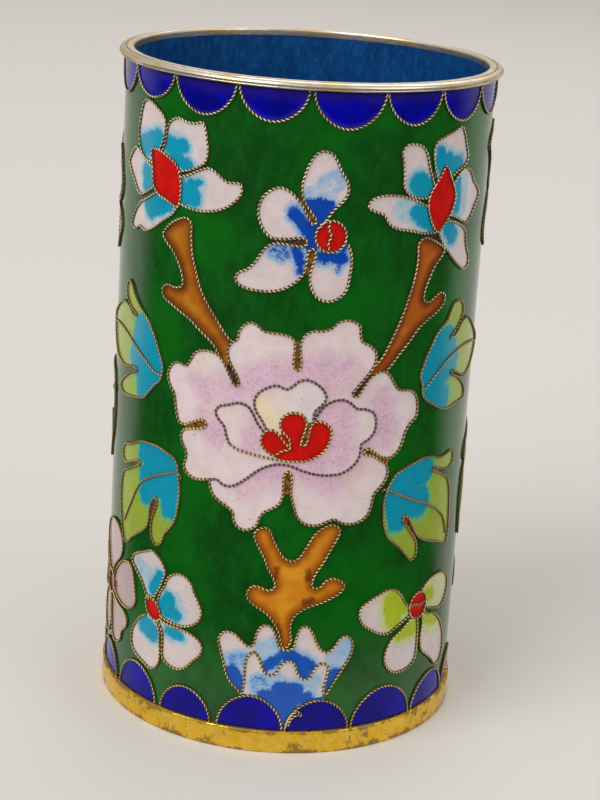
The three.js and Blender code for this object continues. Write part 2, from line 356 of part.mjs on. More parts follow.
function smoothPath(points, closed, tolerance) {
  const SAMPLES = 4;
  const LONGEST_STEP = 4;
  const knots = points.map(([s, z]) => new THREE.Vector3(s, z, 0));
  const curve = new THREE.CatmullRomCurve3(knots, closed, 'centripetal');
  const spans = closed ? points.length : points.length - 1;
  const samples = Array.from({ length: spans * SAMPLES + 1 }, (_, i) => {
    const point = curve.getPoint(i / (spans * SAMPLES));
    return [point.x, point.y];
  });
  const kept = thin(samples, tolerance);
  const path = [kept[0]];
  for (const next of kept.slice(1)) {
    const last = path[path.length - 1];
    const parts = Math.ceil(Math.abs(next[0] - last[0]) / LONGEST_STEP);
    for (let i = 1; i < parts; i += 1) {
      const t = i / parts;
      path.push([last[0] + t * (next[0] - last[0]), last[1] + t * (next[1] - last[1])]);
    }
    path.push(next);
  }
  if (closed) path.pop();
  return path;
}

function onWall([s, z], radius) {
  const seen = s / ORNAMENT_R;
  const sight = Math.max(Math.cos(seen) - SIGHT_LEAN, SHALLOWEST_SIGHT);
  const angle = seen - ((STANDOFF / ORNAMENT_R) * Math.sin(seen)) / sight;
  return [radius * Math.sin(angle), -radius * Math.cos(angle), z];
}

// Solids
const CUTTER_INNER_R = 25;
const CUTTER_OUTER_R = 45;

function solidFrom(positions, triangles) {
  const mesh = new wasm.Mesh({
    numProp: 3,
    vertProperties: Float32Array.from(positions),
    triVerts: Uint32Array.from(triangles),
  });
  return new wasm.Manifold(mesh);
}

function outward(positions, triangles) {
  const solid = solidFrom(positions, triangles);
  if (solid.volume() > 0) return solid;
  const turned = [];
  for (let i = 0; i < triangles.length; i += 3) {
    turned.push(triangles[i], triangles[i + 2], triangles[i + 1]);
  }
  return solidFrom(positions, turned);
}

// A wire along a path: two corners on the enamel and a crown, or a flat top
function ribbon(path, closed, width, innerR, outerR, flatTop = false) {
  const MITRE_LIMIT = 1.6;
  const SHARPEST_TURN = 0.3;
  const corners = flatTop ? 4 : 3;
  const count = path.length;
  const positions = [];
  const triangles = [];
  path.forEach((point, i) => {
    const before = path[closed ? (i + count - 1) % count : Math.max(0, i - 1)];
    const after = path[closed ? (i + 1) % count : Math.min(count - 1, i + 1)];
    const arriving = new THREE.Vector2(point[0] - before[0], point[1] - before[1]).normalize();
    const leaving = new THREE.Vector2(after[0] - point[0], after[1] - point[1]).normalize();
    const along = arriving.add(leaving).normalize();
    const turn = leaving.lengthSq() > 0 ? Math.abs(along.dot(leaving)) : 1;
    const half = (width / 2) * Math.min(MITRE_LIMIT, 1 / Math.max(turn, SHARPEST_TURN));
    const left = [point[0] - along.y * half, point[1] + along.x * half];
    const right = [point[0] + along.y * half, point[1] - along.x * half];
    positions.push(...onWall(left, innerR), ...onWall(right, innerR));
    if (flatTop) positions.push(...onWall(right, outerR), ...onWall(left, outerR));
    else positions.push(...onWall(point, outerR));
  });
  const segments = closed ? count : count - 1;
  for (let i = 0; i < segments; i += 1) {
    const here = i * corners;
    const there = ((i + 1) % count) * corners;
    for (let corner = 0; corner < corners; corner += 1) {
      const next = (corner + 1) % corners;
      triangles.push(here + corner, here + next, there + next);
      triangles.push(here + corner, there + next, there + corner);
    }
  }
  if (!closed) {
    const end = (count - 1) * corners;
    for (let corner = 1; corner + 1 < corners; corner += 1) {
      triangles.push(0, corner + 1, corner, end, end + corner, end + corner + 1);
    }
  }
  return outward(positions, triangles);
}

// A block with the given outline, standing radially through the wall
function radialBlock(outline) {
  const contour = outline.map(([s, z]) => new THREE.Vector2(s, z));
  if (THREE.ShapeUtils.isClockWise(contour)) contour.reverse();
  const count = contour.length;
  const positions = [];
  contour.forEach(({ x, y }) => positions.push(...onWall([x, y], CUTTER_INNER_R)));
  contour.forEach(({ x, y }) => positions.push(...onWall([x, y], CUTTER_OUTER_R)));
  const triangles = [];
  THREE.ShapeUtils.triangulateShape(contour, []).forEach(([a, b, c]) => {
    triangles.push(a, c, b, a + count, b + count, c + count);
  });
  for (let i = 0; i < count; i += 1) {
    const next = (i + 1) % count;
    triangles.push(i, next, next + count, i, next + count, i + count);
  }
  return outward(positions, triangles);
}

// A ring turned from a closed [r, z] profile
function turned(profile) {
  const points = profile.map(([r, z]) => new THREE.Vector2(r, z));
  if (profile[0][0] > 0) points.push(points[0].clone());
  const lathe = new THREE.LatheGeometry(points, FACETS);
  lathe.rotateX(Math.PI / 2);
  lathe.deleteAttribute('normal');
  lathe.deleteAttribute('uv');
  const merged = mergeVertices(lathe);
  const corners = Array.from(merged.index.array);
  const kept = [];
  for (let i = 0; i < corners.length; i += 3) {
    const [a, b, c] = corners.slice(i, i + 3);
    if (a !== b && b !== c && c !== a) kept.push(a, b, c);
  }
  return outward(merged.attributes.position.array, kept);
}

function tube(innerR, outerR, lowZ, highZ) {
  return turned([[innerR, lowZ], [outerR, lowZ], [outerR, highZ], [innerR, highZ]]);
}

function meshOf(name, solid, colour) {
  const { numProp, vertProperties, triVerts } = solid.getMesh();
  const positions = new Float32Array((vertProperties.length / numProp) * 3);
  for (let i = 0; i < positions.length / 3; i += 1) {
    positions.set(vertProperties.subarray(i * numProp, i * numProp + 3), i * 3);
  }
  const geometry = new THREE.BufferGeometry();
  geometry.setAttribute('position', new THREE.BufferAttribute(positions, 3));
  geometry.setIndex(new THREE.BufferAttribute(Uint32Array.from(triVerts), 1));
  geometry.computeVertexNormals();
  const [color, roughness, metalness] = COLOURS[colour];
  const mesh = new THREE.Mesh(geometry, new THREE.MeshStandardMaterial({ color, roughness, metalness }));
  mesh.name = name;
  return mesh;
}

// The vessel
const RIM_Z = HEIGHT - RIM_HEIGHT;
const WALL_FOOT_Z = BASE_PLATE_Z;
const GROUND_LOW_Z = FOOT_HEIGHT + SEAM_GAP;
const GROUND_HIGH_Z = RIM_Z - SEAM_GAP;

function mouthRim() {
  const innerR = LINING_INNER_R + 0.2;
  const innerBevel = 0.35;
  const outerBevel = 0.45;
  return turned([
    [innerR, RIM_Z], [RIM_OUTER_R - outerBevel, RIM_Z], [RIM_OUTER_R, RIM_Z + outerBevel],
    [RIM_OUTER_R, HEIGHT - outerBevel], [RIM_OUTER_R - outerBevel, HEIGHT],
    [innerR + innerBevel, HEIGHT], [innerR, HEIGHT - innerBevel],
  ]);
}

function footRing() {
  const bevel = 0.3;
  const innerR = FOOT_OUTER_R - FOOT_WALL;
  const seatR = COPPER_OUTER_R + SEAM_GAP;
  return turned([
    [innerR, 0], [FOOT_OUTER_R - bevel, 0], [FOOT_OUTER_R, bevel], [FOOT_OUTER_R, FOOT_HEIGHT - bevel],
    [FOOT_OUTER_R - bevel, FOOT_HEIGHT], [seatR, FOOT_HEIGHT], [seatR, WALL_FOOT_Z - SEAM_GAP],
    [innerR, WALL_FOOT_Z - SEAM_GAP],
  ]);
}

function copperBody() {
  return tube(COPPER_INNER_R, COPPER_OUTER_R, WALL_FOOT_Z, RIM_Z - SEAM_GAP);
}

function basePlate() {
  const r = COPPER_INNER_R - SEAM_GAP;
  const top = BASE_PLATE_Z + BASE_PLATE_THICKNESS;
  return turned([[0, BASE_PLATE_Z], [r, BASE_PLATE_Z], [r, top], [0, top]]);
}

function liningEnamel() {
  const outerR = COPPER_INNER_R - SEAM_GAP;
  const low = BASE_PLATE_Z + BASE_PLATE_THICKNESS + SEAM_GAP;
  const floor = low + 0.35;
  const cove = 1.2;
  return turned([
    [0, low], [outerR, low], [outerR, RIM_Z - SEAM_GAP], [LINING_INNER_R, RIM_Z - SEAM_GAP],
    [LINING_INNER_R, floor + cove], [LINING_INNER_R - cove, floor], [0, floor],
  ]);
}

function baseEnamel() {
  const r = FOOT_OUTER_R - FOOT_WALL - SEAM_GAP;
  const thickness = 0.3;
  const top = BASE_PLATE_Z - SEAM_GAP;
  return turned([[0, top - thickness], [r, top - thickness], [r, top], [0, top]]);
}

function groundEnamel() {
  return tube(COPPER_OUTER_R + SEAM_GAP, GROUND_OUTER_R, GROUND_LOW_Z, GROUND_HIGH_Z);
}

// Scalloped borders: half ellipses hang from the rim and stand on the foot
function scallopColumns({ cusps, farZs }, edgeZ) {
  const measured = farZs.length;
  const lastCusp = cusps[measured];
  const evenWidth = (cusps[0] + 2 * HALF_TURN - lastCusp) / (SCALLOPS - measured);
  const evenZ = farZs.reduce((sum, z) => sum + z, 0) / measured;
  const columns = [];
  for (let i = 0; i < SCALLOPS; i += 1) {
    const left = i < measured ? cusps[i] : lastCusp + evenWidth * (i - measured);
    const width = i < measured ? cusps[i + 1] - left : evenWidth;
    const reach = (i < measured ? farZs[i] : evenZ) - edgeZ;
    for (let step = 0; step < SCALLOP_STEPS; step += 1) {
      const t = step / SCALLOP_STEPS;
      columns.push({ s: left + width * t, reach: reach * Math.sin(Math.acos(1 - 2 * t)) });
    }
  }
  return columns;
}

function borderWire(scallops, edgeZ) {
  const path = scallopColumns(scallops, edgeZ).map(({ s, reach }) => [s, edgeZ + reach]);
  return ribbon(path, true, WIRE_WIDTH, WIRE_INNER_R, WIRE_OUTER_R);
}

function borderEnamel(scallops, edgeZ) {
  const THINNEST = 0.3;
  const INNER_R = CELL_INNER_R + 0.02;
  const columns = scallopColumns(scallops, edgeZ);
  const towards = Math.sign(scallops.farZs[0] - edgeZ);
  const positions = [];
  const triangles = [];
  columns.forEach(({ s, reach }) => {
    const far = edgeZ + THINNEST * towards + reach * ENAMEL_SHARE;
    positions.push(...onWall([s, edgeZ], INNER_R), ...onWall([s, far], INNER_R));
    positions.push(...onWall([s, far], CELL_OUTER_R), ...onWall([s, edgeZ], CELL_OUTER_R));
  });
  const CORNERS = 4;
  columns.forEach((_, i) => {
    const here = i * CORNERS;
    const there = ((i + 1) % columns.length) * CORNERS;
    for (let corner = 0; corner < CORNERS; corner += 1) {
      const next = (corner + 1) % CORNERS;
      triangles.push(here + corner, here + next, there + next);
      triangles.push(here + corner, there + next, there + corner);
    }
  });
  return outward(positions, triangles);
}

// Ornament
const closedWire = (points) => ({ points, closed: true });
const openWire = (points) => ({ points, closed: false });

function grown(points, factor) {
  const s = points.reduce((sum, point) => sum + point[0], 0) / points.length;
  const z = points.reduce((sum, point) => sum + point[1], 0) / points.length;
  return points.map((point) => [s + (point[0] - s) * factor, z + (point[1] - z) * factor]);
}

function blossom(name, colour, heart, petals) {
  return {
    name,
    colour,
    wires: [closedWire(heart), ...petals.map(openWire)],
    cells: [grown(heart, 1.25), ...petals],
  };
}

function leaf(name, outline, vein) {
  return { name, colour: 'leaf_blue', wires: [closedWire(outline), openWire(vein)], cells: [outline] };
}

function branch(name, oneSide, otherSide) {
  return {
    name,
    colour: 'branch_amber',
    wires: [openWire([...otherSide].reverse().concat(oneSide))],
    cells: [[...otherSide].reverse().concat(oneSide)],
  };
}

const MOTIFS = [
  {
    name: 'peony',
    colour: 'peony_pink',
    wires: [
      closedWire(PEONY_OUTLINE), openWire(PEONY_FOLD), openWire(PEONY_TOP_PETAL),
      openWire(PEONY_LEFT_PETAL), openWire(PEONY_MIDDLE_SEED), closedWire(PEONY_LEFT_SEED),
    ],
    cells: [PEONY_OUTLINE],
  },
  blossom('prunus_left', 'petal_pink', PRUNUS_LEFT_HEART, PRUNUS_LEFT_PETALS),
  blossom('prunus_right', 'petal_pink', PRUNUS_RIGHT_HEART, PRUNUS_RIGHT_PETALS),
  {
    name: 'blue_blossom',
    colour: 'petal_pink',
    wires: [openWire(BLUE_BLOSSOM_WIRE), closedWire(ellipse(BLUE_BLOSSOM_HEART))],
    cells: [BLUE_BLOSSOM_WIRE, ellipse(BLUE_BLOSSOM_HEART)],
  },
  blossom('small_blossom_left', 'petal_pink', ellipse(SMALL_LEFT_HEART), SMALL_LEFT_PETALS),
  blossom('small_blossom_right', 'petal_pink', ellipse(SMALL_RIGHT_HEART), SMALL_RIGHT_PETALS),
  blossom('side_blossom', 'petal_pink', ellipse(SIDE_BLOSSOM_HEART), SIDE_BLOSSOM_PETALS),
  leaf('leaf_upper_left', LEAF_UPPER_LEFT, LEAF_UPPER_LEFT_VEIN),
  leaf('leaf_upper_right', LEAF_UPPER_RIGHT, LEAF_UPPER_RIGHT_VEIN),
  leaf('leaf_lower_left', LEAF_LOWER_LEFT, LEAF_LOWER_LEFT_VEIN),
  leaf('leaf_lower_right', LEAF_LOWER_RIGHT, LEAF_LOWER_RIGHT_VEIN),
  branch('branch_left', BRANCH_LEFT_LEFT_SIDE, BRANCH_LEFT_RIGHT_SIDE),
  branch('branch_right', BRANCH_RIGHT_RIGHT_SIDE, BRANCH_RIGHT_LEFT_SIDE),
  { name: 'trunk', colour: 'branch_amber', wires: [closedWire(TRUNK)], cells: [TRUNK] },
  {
    name: 'rocks',
    colour: 'cobalt',
    wires: [openWire(ROCK_OUTER), openWire(ROCK_INNER)],
    cells: [[...ROCK_OUTER, ...ROCK_FOOT]],
  },
];

// The room that a motif takes on the wall, with a gap round it
function roomOf(motif) {
  const width = WIRE_WIDTH + 2 * NEIGHBOUR_GAP;
  const pieces = motif.cells.map((cell) => radialBlock(smoothPath(cell, true, CELL_TOLERANCE)));
  motif.wires.forEach((wire) => {
    const path = smoothPath(wire.points, wire.closed, WIRE_TOLERANCE);
    const ends = wire.closed ? [...path, path[0]] : path;
    for (let i = 0; i + 1 < ends.length; i += 1) {
      const piece = ribbon([ends[i], ends[i + 1]], false, width, CUTTER_INNER_R, CUTTER_OUTER_R, true);
      pieces.push(piece);
    }
  });
  return wasm.Manifold.union(pieces);
}

function bounds(motif) {
  const points = motif.cells.flat();
  return {
    lowS: Math.min(...points.map((point) => point[0])),
    highS: Math.max(...points.map((point) => point[0])),
    lowZ: Math.min(...points.map((point) => point[1])),
    highZ: Math.max(...points.map((point) => point[1])),
  };
}

function neighbours(one, other) {
  const NEAR = 1.5;
  const a = bounds(one);
  const b = bounds(other);
  const beside = a.lowS < b.highS + NEAR && b.lowS < a.highS + NEAR;
  return beside && a.lowZ < b.highZ + NEAR && b.lowZ < a.highZ + NEAR;
}

function wiresOf(motif) {
  const wires = motif.wires.map((wire) => {
    const path = smoothPath(wire.points, wire.closed, WIRE_TOLERANCE);
    return ribbon(path, wire.closed, WIRE_WIDTH, WIRE_INNER_R, WIRE_OUTER_R);
  });
  return wasm.Manifold.union(wires);
}

const UPPER_EDGE_Z = RIM_Z - BORDER_EDGE_GAP;
const LOWER_EDGE_Z = FOOT_HEIGHT + BORDER_EDGE_GAP;
const CELL_BAND = tube(CELL_INNER_R, CELL_OUTER_R, LOWER_EDGE_Z, UPPER_EDGE_Z);

function cellsOf(motif) {
  const blocks = motif.cells.map((cell) => radialBlock(smoothPath(cell, true, CELL_TOLERANCE)));
  return wasm.Manifold.union(blocks).intersect(CELL_BAND);
}

function ornament() {
  return MOTIFS.flatMap((motif, i) => {
    const taken = MOTIFS.slice(0, i).filter((other) => neighbours(motif, other)).map(roomOf);
    const cleared = (solid) => taken.reduce((left, room) => left.subtract(room), solid);
    return [
      meshOf(`${motif.name}_enamel`, cleared(cellsOf(motif)), motif.colour),
      meshOf(`${motif.name}_wire`, cleared(wiresOf(motif)), 'wire_gold'),
    ];
  });
}

const group = new THREE.Group();
group.add(
  meshOf('copper_body', copperBody(), 'copper'),
  meshOf('base_plate', basePlate(), 'copper'),
  meshOf('mouth_rim', mouthRim(), 'silver_gold'),
  meshOf('foot_ring', footRing(), 'gold'),
  meshOf('lining_enamel', liningEnamel(), 'lining_blue'),
  meshOf('base_enamel', baseEnamel(), 'lining_blue'),
  meshOf('ground_enamel', groundEnamel(), 'ground_green'),
  meshOf('upper_border_wire', borderWire(UPPER_SCALLOPS, UPPER_EDGE_Z), 'wire_gold'),
  meshOf('lower_border_wire', borderWire(LOWER_SCALLOPS, LOWER_EDGE_Z), 'wire_gold'),
  meshOf('upper_border_enamel', borderEnamel(UPPER_SCALLOPS, UPPER_EDGE_Z), 'border_blue'),
  meshOf('lower_border_enamel', borderEnamel(LOWER_SCALLOPS, LOWER_EDGE_Z), 'border_blue'),
  ...ornament(),
);

export default group;
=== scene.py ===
import math

import bpy
import numpy as np
from mathutils import Matrix, Vector, geometry, kdtree


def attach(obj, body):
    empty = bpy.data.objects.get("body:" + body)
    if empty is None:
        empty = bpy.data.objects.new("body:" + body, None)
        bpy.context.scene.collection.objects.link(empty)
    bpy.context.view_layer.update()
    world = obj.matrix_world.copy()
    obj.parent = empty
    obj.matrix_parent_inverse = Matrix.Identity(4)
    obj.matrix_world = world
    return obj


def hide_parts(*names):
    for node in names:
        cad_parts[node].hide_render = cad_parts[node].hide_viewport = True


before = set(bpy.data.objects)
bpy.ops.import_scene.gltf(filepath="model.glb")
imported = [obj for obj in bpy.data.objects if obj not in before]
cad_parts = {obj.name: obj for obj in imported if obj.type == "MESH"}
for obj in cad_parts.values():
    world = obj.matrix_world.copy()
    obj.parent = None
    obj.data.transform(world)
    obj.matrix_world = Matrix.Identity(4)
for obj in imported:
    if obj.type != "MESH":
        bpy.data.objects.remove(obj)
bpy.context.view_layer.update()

# Cloisonne brush pot: a copper cylinder under green enamel, with flowers fenced by twisted gilt wire.
# Lengths are in millimetres until a mesh is made, because the pot's drawing is in millimetres.
MM = 0.001
MM_PER_METRE = 1000
TOUCHING = 1e-6
NOT_ZERO = 1e-9
VESSEL_CREASE = math.radians(35)
CELL_CREASE = math.radians(40)

# Vessel. The enamel and the copper are tucked a little way under the rim and the foot.
HEIGHT = 120.0
LINING_R = 31.38
COPPER_INNER_R = 31.7
COPPER_OUTER_R = 32.2
GROUND_R = 32.62
RIM_INNER_R = 31.3
RIM_OUTER_R = 33.84
RIM_FOOT_Z = 118.68
GROOVE_R = 32.68
FOOT_R = 33.35
FOOT_INNER_R = 31.05
FOOT_HEIGHT = 4.2
BASE_Z = 2.5
BASE_THICKNESS = 0.8
BASE_RECESS = 0.05
LINING_THICKNESS = 0.35
LINING_FILLET = 1.6
FILLET_STEPS = 8
UNDER_THICKNESS = 0.32
UNDER_EDGE_THICKNESS = 0.55
UNDER_EDGE_WIDTH = 0.8
TUCK = 0.1
TURN_STEPS = 240
WALL_ROWS = np.linspace(10, 110, 11)

# Ornament: s runs round the wall from the front, at this radius
WALL_R = 32.63
HALF_TURN = math.pi * WALL_R
STANDOFF = 0.35
CELL_R = 32.68
LAYER = 0.02
MENISCUS = 0.09
MENISCUS_WIDTH = 0.35
CELL_DEPTH = 0.22
OUTLINE_STEP = 0.3
WIRE_STEP = 0.12
CELL_GRID = 0.55

# Twisted wire
STRAND_R = 0.12
STRAND_OFFSET = 0.155
ROPE_R = 32.82
HOLLOW_R = 32.95
CROWN_R = 33.07
TWIST_PITCH = 1.55
STEPS_PER_TWIST = 9

# Outlines of the ornament, (s, z) along the centre of each wire
PEONY_OUTLINE = [
    (0.15, 76.3), (0.1, 74.4), (0.1, 72.2), (0.7, 71.3), (1.3, 72.2), (1.05, 74.4), (1.1, 76.3),
    (1.7, 77.6), (3.0, 78.3), (4.8, 78.4), (6.2, 78.9), (7.1, 79.8), (8.5, 80.3), (10.0, 80.0),
    (11.1, 79.2), (11.3, 77.8), (11.7, 76.5), (13.2, 75.7), (14.4, 74.4), (14.5, 72.9), (13.8, 71.3),
    (12.7, 69.9), (11.5, 68.5), (10.6, 67.2), (11.4, 66.7), (12.4, 68.1), (13.3, 69.5), (14.3, 70.4),
    (15.6, 70.95), (16.8, 70.7), (17.7, 69.8), (18.6, 68.5), (19.5, 67.4), (20.8, 67.1), (22.1, 66.9),
    (23.2, 66.2), (23.9, 65.0), (24.2, 63.2), (23.9, 61.7), (22.6, 60.7), (21.7, 59.3), (21.2, 57.6),
    (20.3, 56.0), (18.9, 55.0), (17.2, 55.3), (15.6, 56.3), (14.4, 57.1), (13.5, 56.9), (13.7, 56.2),
    (15.2, 55.8), (16.8, 54.8), (18.1, 54.0), (18.5, 52.6), (18.1, 51.0), (17.0, 49.7), (16.0, 48.6),
    (15.7, 46.9), (15.0, 44.9), (13.4, 43.8), (11.6, 43.5), (10.2, 43.8), (8.8, 44.5), (7.6, 44.2),
    (6.3, 43.6), (4.7, 43.5), (3.2, 44.0), (2.2, 45.1), (1.5, 47.0), (0.9, 49.0), (0.9, 51.2), (0.75, 52.7),
    (0.2, 53.2), (-0.4, 52.6), (-0.45, 50.6), (-0.45, 48.6), (-1.0, 47.2), (-2.3, 46.2), (-3.6, 45.4),
    (-4.3, 44.3), (-4.7, 43.0), (-5.6, 42.2), (-6.9, 41.8), (-8.2, 42.3), (-8.9, 43.4), (-9.1, 44.7),
    (-10.2, 45.6), (-11.6, 46.3), (-12.9, 47.3), (-13.6, 48.7), (-13.9, 49.9), (-15.2, 49.6), (-16.9, 49.5),
    (-18.4, 50.2), (-19.1, 51.4), (-18.7, 53.0), (-18.9, 54.3), (-19.7, 55.4), (-20.0, 56.8), (-19.5, 57.9),
    (-18.0, 58.4), (-16.3, 58.8), (-15.1, 59.3), (-15.0, 60.1), (-16.0, 60.4), (-17.5, 59.7), (-19.2, 58.8),
    (-20.5, 59.0), (-21.2, 60.5), (-21.6, 62.3), (-22.0, 63.9), (-23.0, 65.1), (-23.6, 66.8), (-23.1, 68.4),
    (-22.1, 69.4), (-20.8, 69.6), (-19.6, 69.4), (-18.7, 70.5), (-18.0, 71.8), (-16.9, 72.6), (-15.4, 72.9),
    (-13.8, 72.7), (-12.6, 71.9), (-11.6, 70.4), (-10.7, 68.8), (-9.9, 67.6), (-9.2, 67.9), (-9.6, 69.3),
    (-10.5, 70.7), (-11.3, 72.2), (-11.5, 73.7), (-10.9, 75.0), (-9.9, 75.8), (-9.6, 77.3), (-8.6, 78.6),
    (-7.4, 79.0), (-6.3, 78.5), (-5.4, 77.8), (-4.2, 77.6), (-2.5, 77.5), (-0.7, 77.1),
]
PEONY_GILT_STRETCHES = [(1, 5), (43, 51), (68, 74), (98, 105)]
PEONY_FOLD = [
    (-13.9, 49.9), (-12.4, 50.2), (-11.2, 49.5), (-9.9, 49.4), (-8.4, 50.1), (-6.7, 51.5), (-5.2, 52.8),
    (-3.6, 53.8), (-1.6, 54.4), (0.6, 54.2), (2.5, 53.5), (4.7, 52.9), (7.0, 52.7), (9.3, 52.9),
    (11.2, 53.9), (12.4, 55.3), (12.8, 56.8), (12.9, 58.1), (14.2, 58.9), (15.2, 60.2), (15.4, 62.0),
    (14.8, 63.6), (13.4, 64.3), (11.6, 64.6), (10.4, 65.6), (9.1, 66.2), (7.3, 66.0), (5.7, 65.0),
    (4.7, 63.6), (4.0, 62.1),
]
PEONY_TOP_PETAL = [
    (-3.8, 60.3), (-5.0, 62.3), (-6.0, 63.8), (-6.3, 65.3), (-5.7, 66.7), (-4.3, 67.8), (-2.5, 68.4),
    (-0.9, 67.9), (0.2, 68.5), (1.2, 69.4), (2.6, 69.7), (4.1, 69.1), (5.4, 68.0), (6.0, 66.6), (5.4, 65.4),
    (4.2, 64.2), (4.0, 62.1),
]
PEONY_LEFT_PETAL = [
    (-4.25, 59.85), (-5.6, 61.5), (-6.5, 63.1), (-7.4, 64.2), (-9.0, 64.6), (-10.9, 64.0), (-12.6, 63.4),
    (-13.2, 62.4), (-12.6, 61.2), (-11.5, 60.1), (-11.0, 58.5), (-10.4, 57.1), (-8.9, 56.3), (-6.8, 55.9),
    (-4.2, 55.5), (-1.9, 55.2), (0.8, 55.1), (3.2, 55.3), (5.0, 56.1), (6.3, 57.3), (7.1, 59.1),
    (7.2, 60.8), (6.4, 61.9), (5.0, 62.4), (4.0, 62.1), (3.4, 60.4), (3.2, 58.9), (2.7, 57.9),
]
PEONY_MIDDLE_SEED = [
    (2.0, 58.1), (2.3, 59.4), (2.7, 60.9), (2.85, 62.1), (2.3, 63.3), (1.1, 63.8), (-0.3, 63.6),
    (-1.4, 62.6), (-1.6, 61.2), (-0.9, 60.1), (0.0, 59.2), (0.3, 57.4),
]
PEONY_LEFT_SEED = [
    (0.3, 57.4), (-1.2, 56.8), (-2.4, 56.0), (-3.8, 56.7), (-4.7, 58.0), (-4.6, 59.3), (-3.8, 60.3),
    (-2.6, 60.4), (-1.7, 59.7), (-0.6, 58.3),
]
PRUNUS_LEFT_HEART = [
    (-30.4, 105.0), (-28.4, 105.3), (-25.6, 104.5), (-23.4, 103.3), (-22.5, 101.0), (-22.4, 98.4),
    (-22.9, 96.5), (-25.4, 97.1), (-28.2, 97.9), (-29.6, 99.3), (-29.9, 101.8),
]
PRUNUS_LEFT_PETALS = [
    ((-30.2, 102.8), (-32.7, 103.2), (-34.6, 104.8), (-35.2, 107.2), (-34.8, 109.6), (-34.2, 111.5),
     (-33.4, 112.8), (-32.1, 113.2), (-30.4, 112.8), (-28.5, 111.9), (-27.2, 111.0), (-26.7, 109.8),
     (-27.0, 107.8), (-27.5, 106.4), (-28.3, 105.3)),
    ((-22.8, 102.6), (-20.6, 103.2), (-18.6, 104.1), (-17.4, 105.1), (-17.0, 106.9), (-17.3, 108.8),
     (-17.7, 110.6), (-18.3, 111.5), (-19.6, 111.2), (-21.5, 111.1), (-23.5, 111.5), (-25.2, 110.8),
     (-26.1, 109.6), (-26.4, 108.0), (-26.8, 106.5), (-27.3, 105.2)),
    ((-22.4, 101.7), (-20.4, 102.5), (-18.7, 103.4), (-16.6, 104.1), (-15.0, 103.4), (-13.2, 102.3),
     (-10.7, 102.2), (-10.4, 100.9), (-11.6, 99.1), (-14.0, 97.5), (-17.2, 96.7), (-20.2, 96.7),
     (-22.7, 97.2)),
    ((-30.0, 102.0), (-32.4, 102.9), (-34.4, 103.9), (-36.2, 104.4), (-38.0, 103.2), (-39.6, 101.4),
     (-38.4, 100.0), (-36.6, 98.6), (-35.0, 97.1), (-33.6, 96.7), (-31.6, 97.5), (-29.2, 98.8)),
    ((-28.6, 97.9), (-31.2, 96.5), (-33.6, 95.3), (-35.6, 93.4), (-37.0, 90.6), (-35.4, 90.3),
     (-33.8, 91.1), (-31.6, 90.7), (-29.4, 91.6), (-26.6, 93.4), (-24.0, 95.2), (-22.9, 96.7)),
]
PRUNUS_RIGHT_HEART = [
    (26.7, 105.7), (28.2, 103.6), (29.5, 101.5), (29.9, 99.8), (29.0, 97.5), (27.3, 95.6), (25.8, 94.4),
    (24.6, 95.4), (23.6, 97.2), (22.9, 99.6), (23.5, 101.7), (25.2, 103.8),
]
PRUNUS_RIGHT_PETALS = [
    ((23.0, 100.6), (20.8, 100.7), (18.9, 101.3), (17.6, 102.6), (17.3, 105.0), (17.0, 107.2),
     (16.7, 108.7), (17.6, 109.8), (19.2, 109.9), (20.8, 109.4), (21.9, 108.0), (22.6, 105.9), (24.1, 102.4)),
    ((28.2, 103.7), (30.2, 104.6), (32.4, 105.5), (33.1, 106.6), (32.3, 108.6), (31.2, 111.0),
     (30.3, 112.0), (28.4, 111.5), (26.0, 110.8), (24.0, 110.0), (23.4, 108.8), (23.7, 106.4), (24.8, 103.3)),
    ((29.0, 102.3), (30.6, 103.9), (32.6, 104.7), (34.6, 104.0), (36.2, 102.1), (38.6, 100.4), (39.3, 99.2),
     (37.2, 97.2), (36.0, 95.8), (34.6, 95.0), (33.0, 95.4), (31.0, 96.3), (28.9, 97.1)),
    ((28.1, 96.2), (31.1, 95.4), (33.4, 94.3), (34.5, 93.3), (34.9, 91.5), (35.7, 90.0), (36.7, 88.5),
     (36.5, 87.1), (34.9, 86.7), (33.0, 87.5), (31.1, 88.8), (29.3, 90.4), (28.0, 91.5), (26.5, 93.5),
     (25.9, 94.4)),
    ((25.6, 94.5), (22.6, 94.5), (19.6, 95.2), (16.6, 95.8), (15.1, 96.7), (14.0, 98.2), (12.4, 98.8),
     (11.1, 99.6), (11.6, 100.8), (14.0, 101.5), (17.0, 101.3), (19.8, 100.5), (23.1, 99.0)),
]
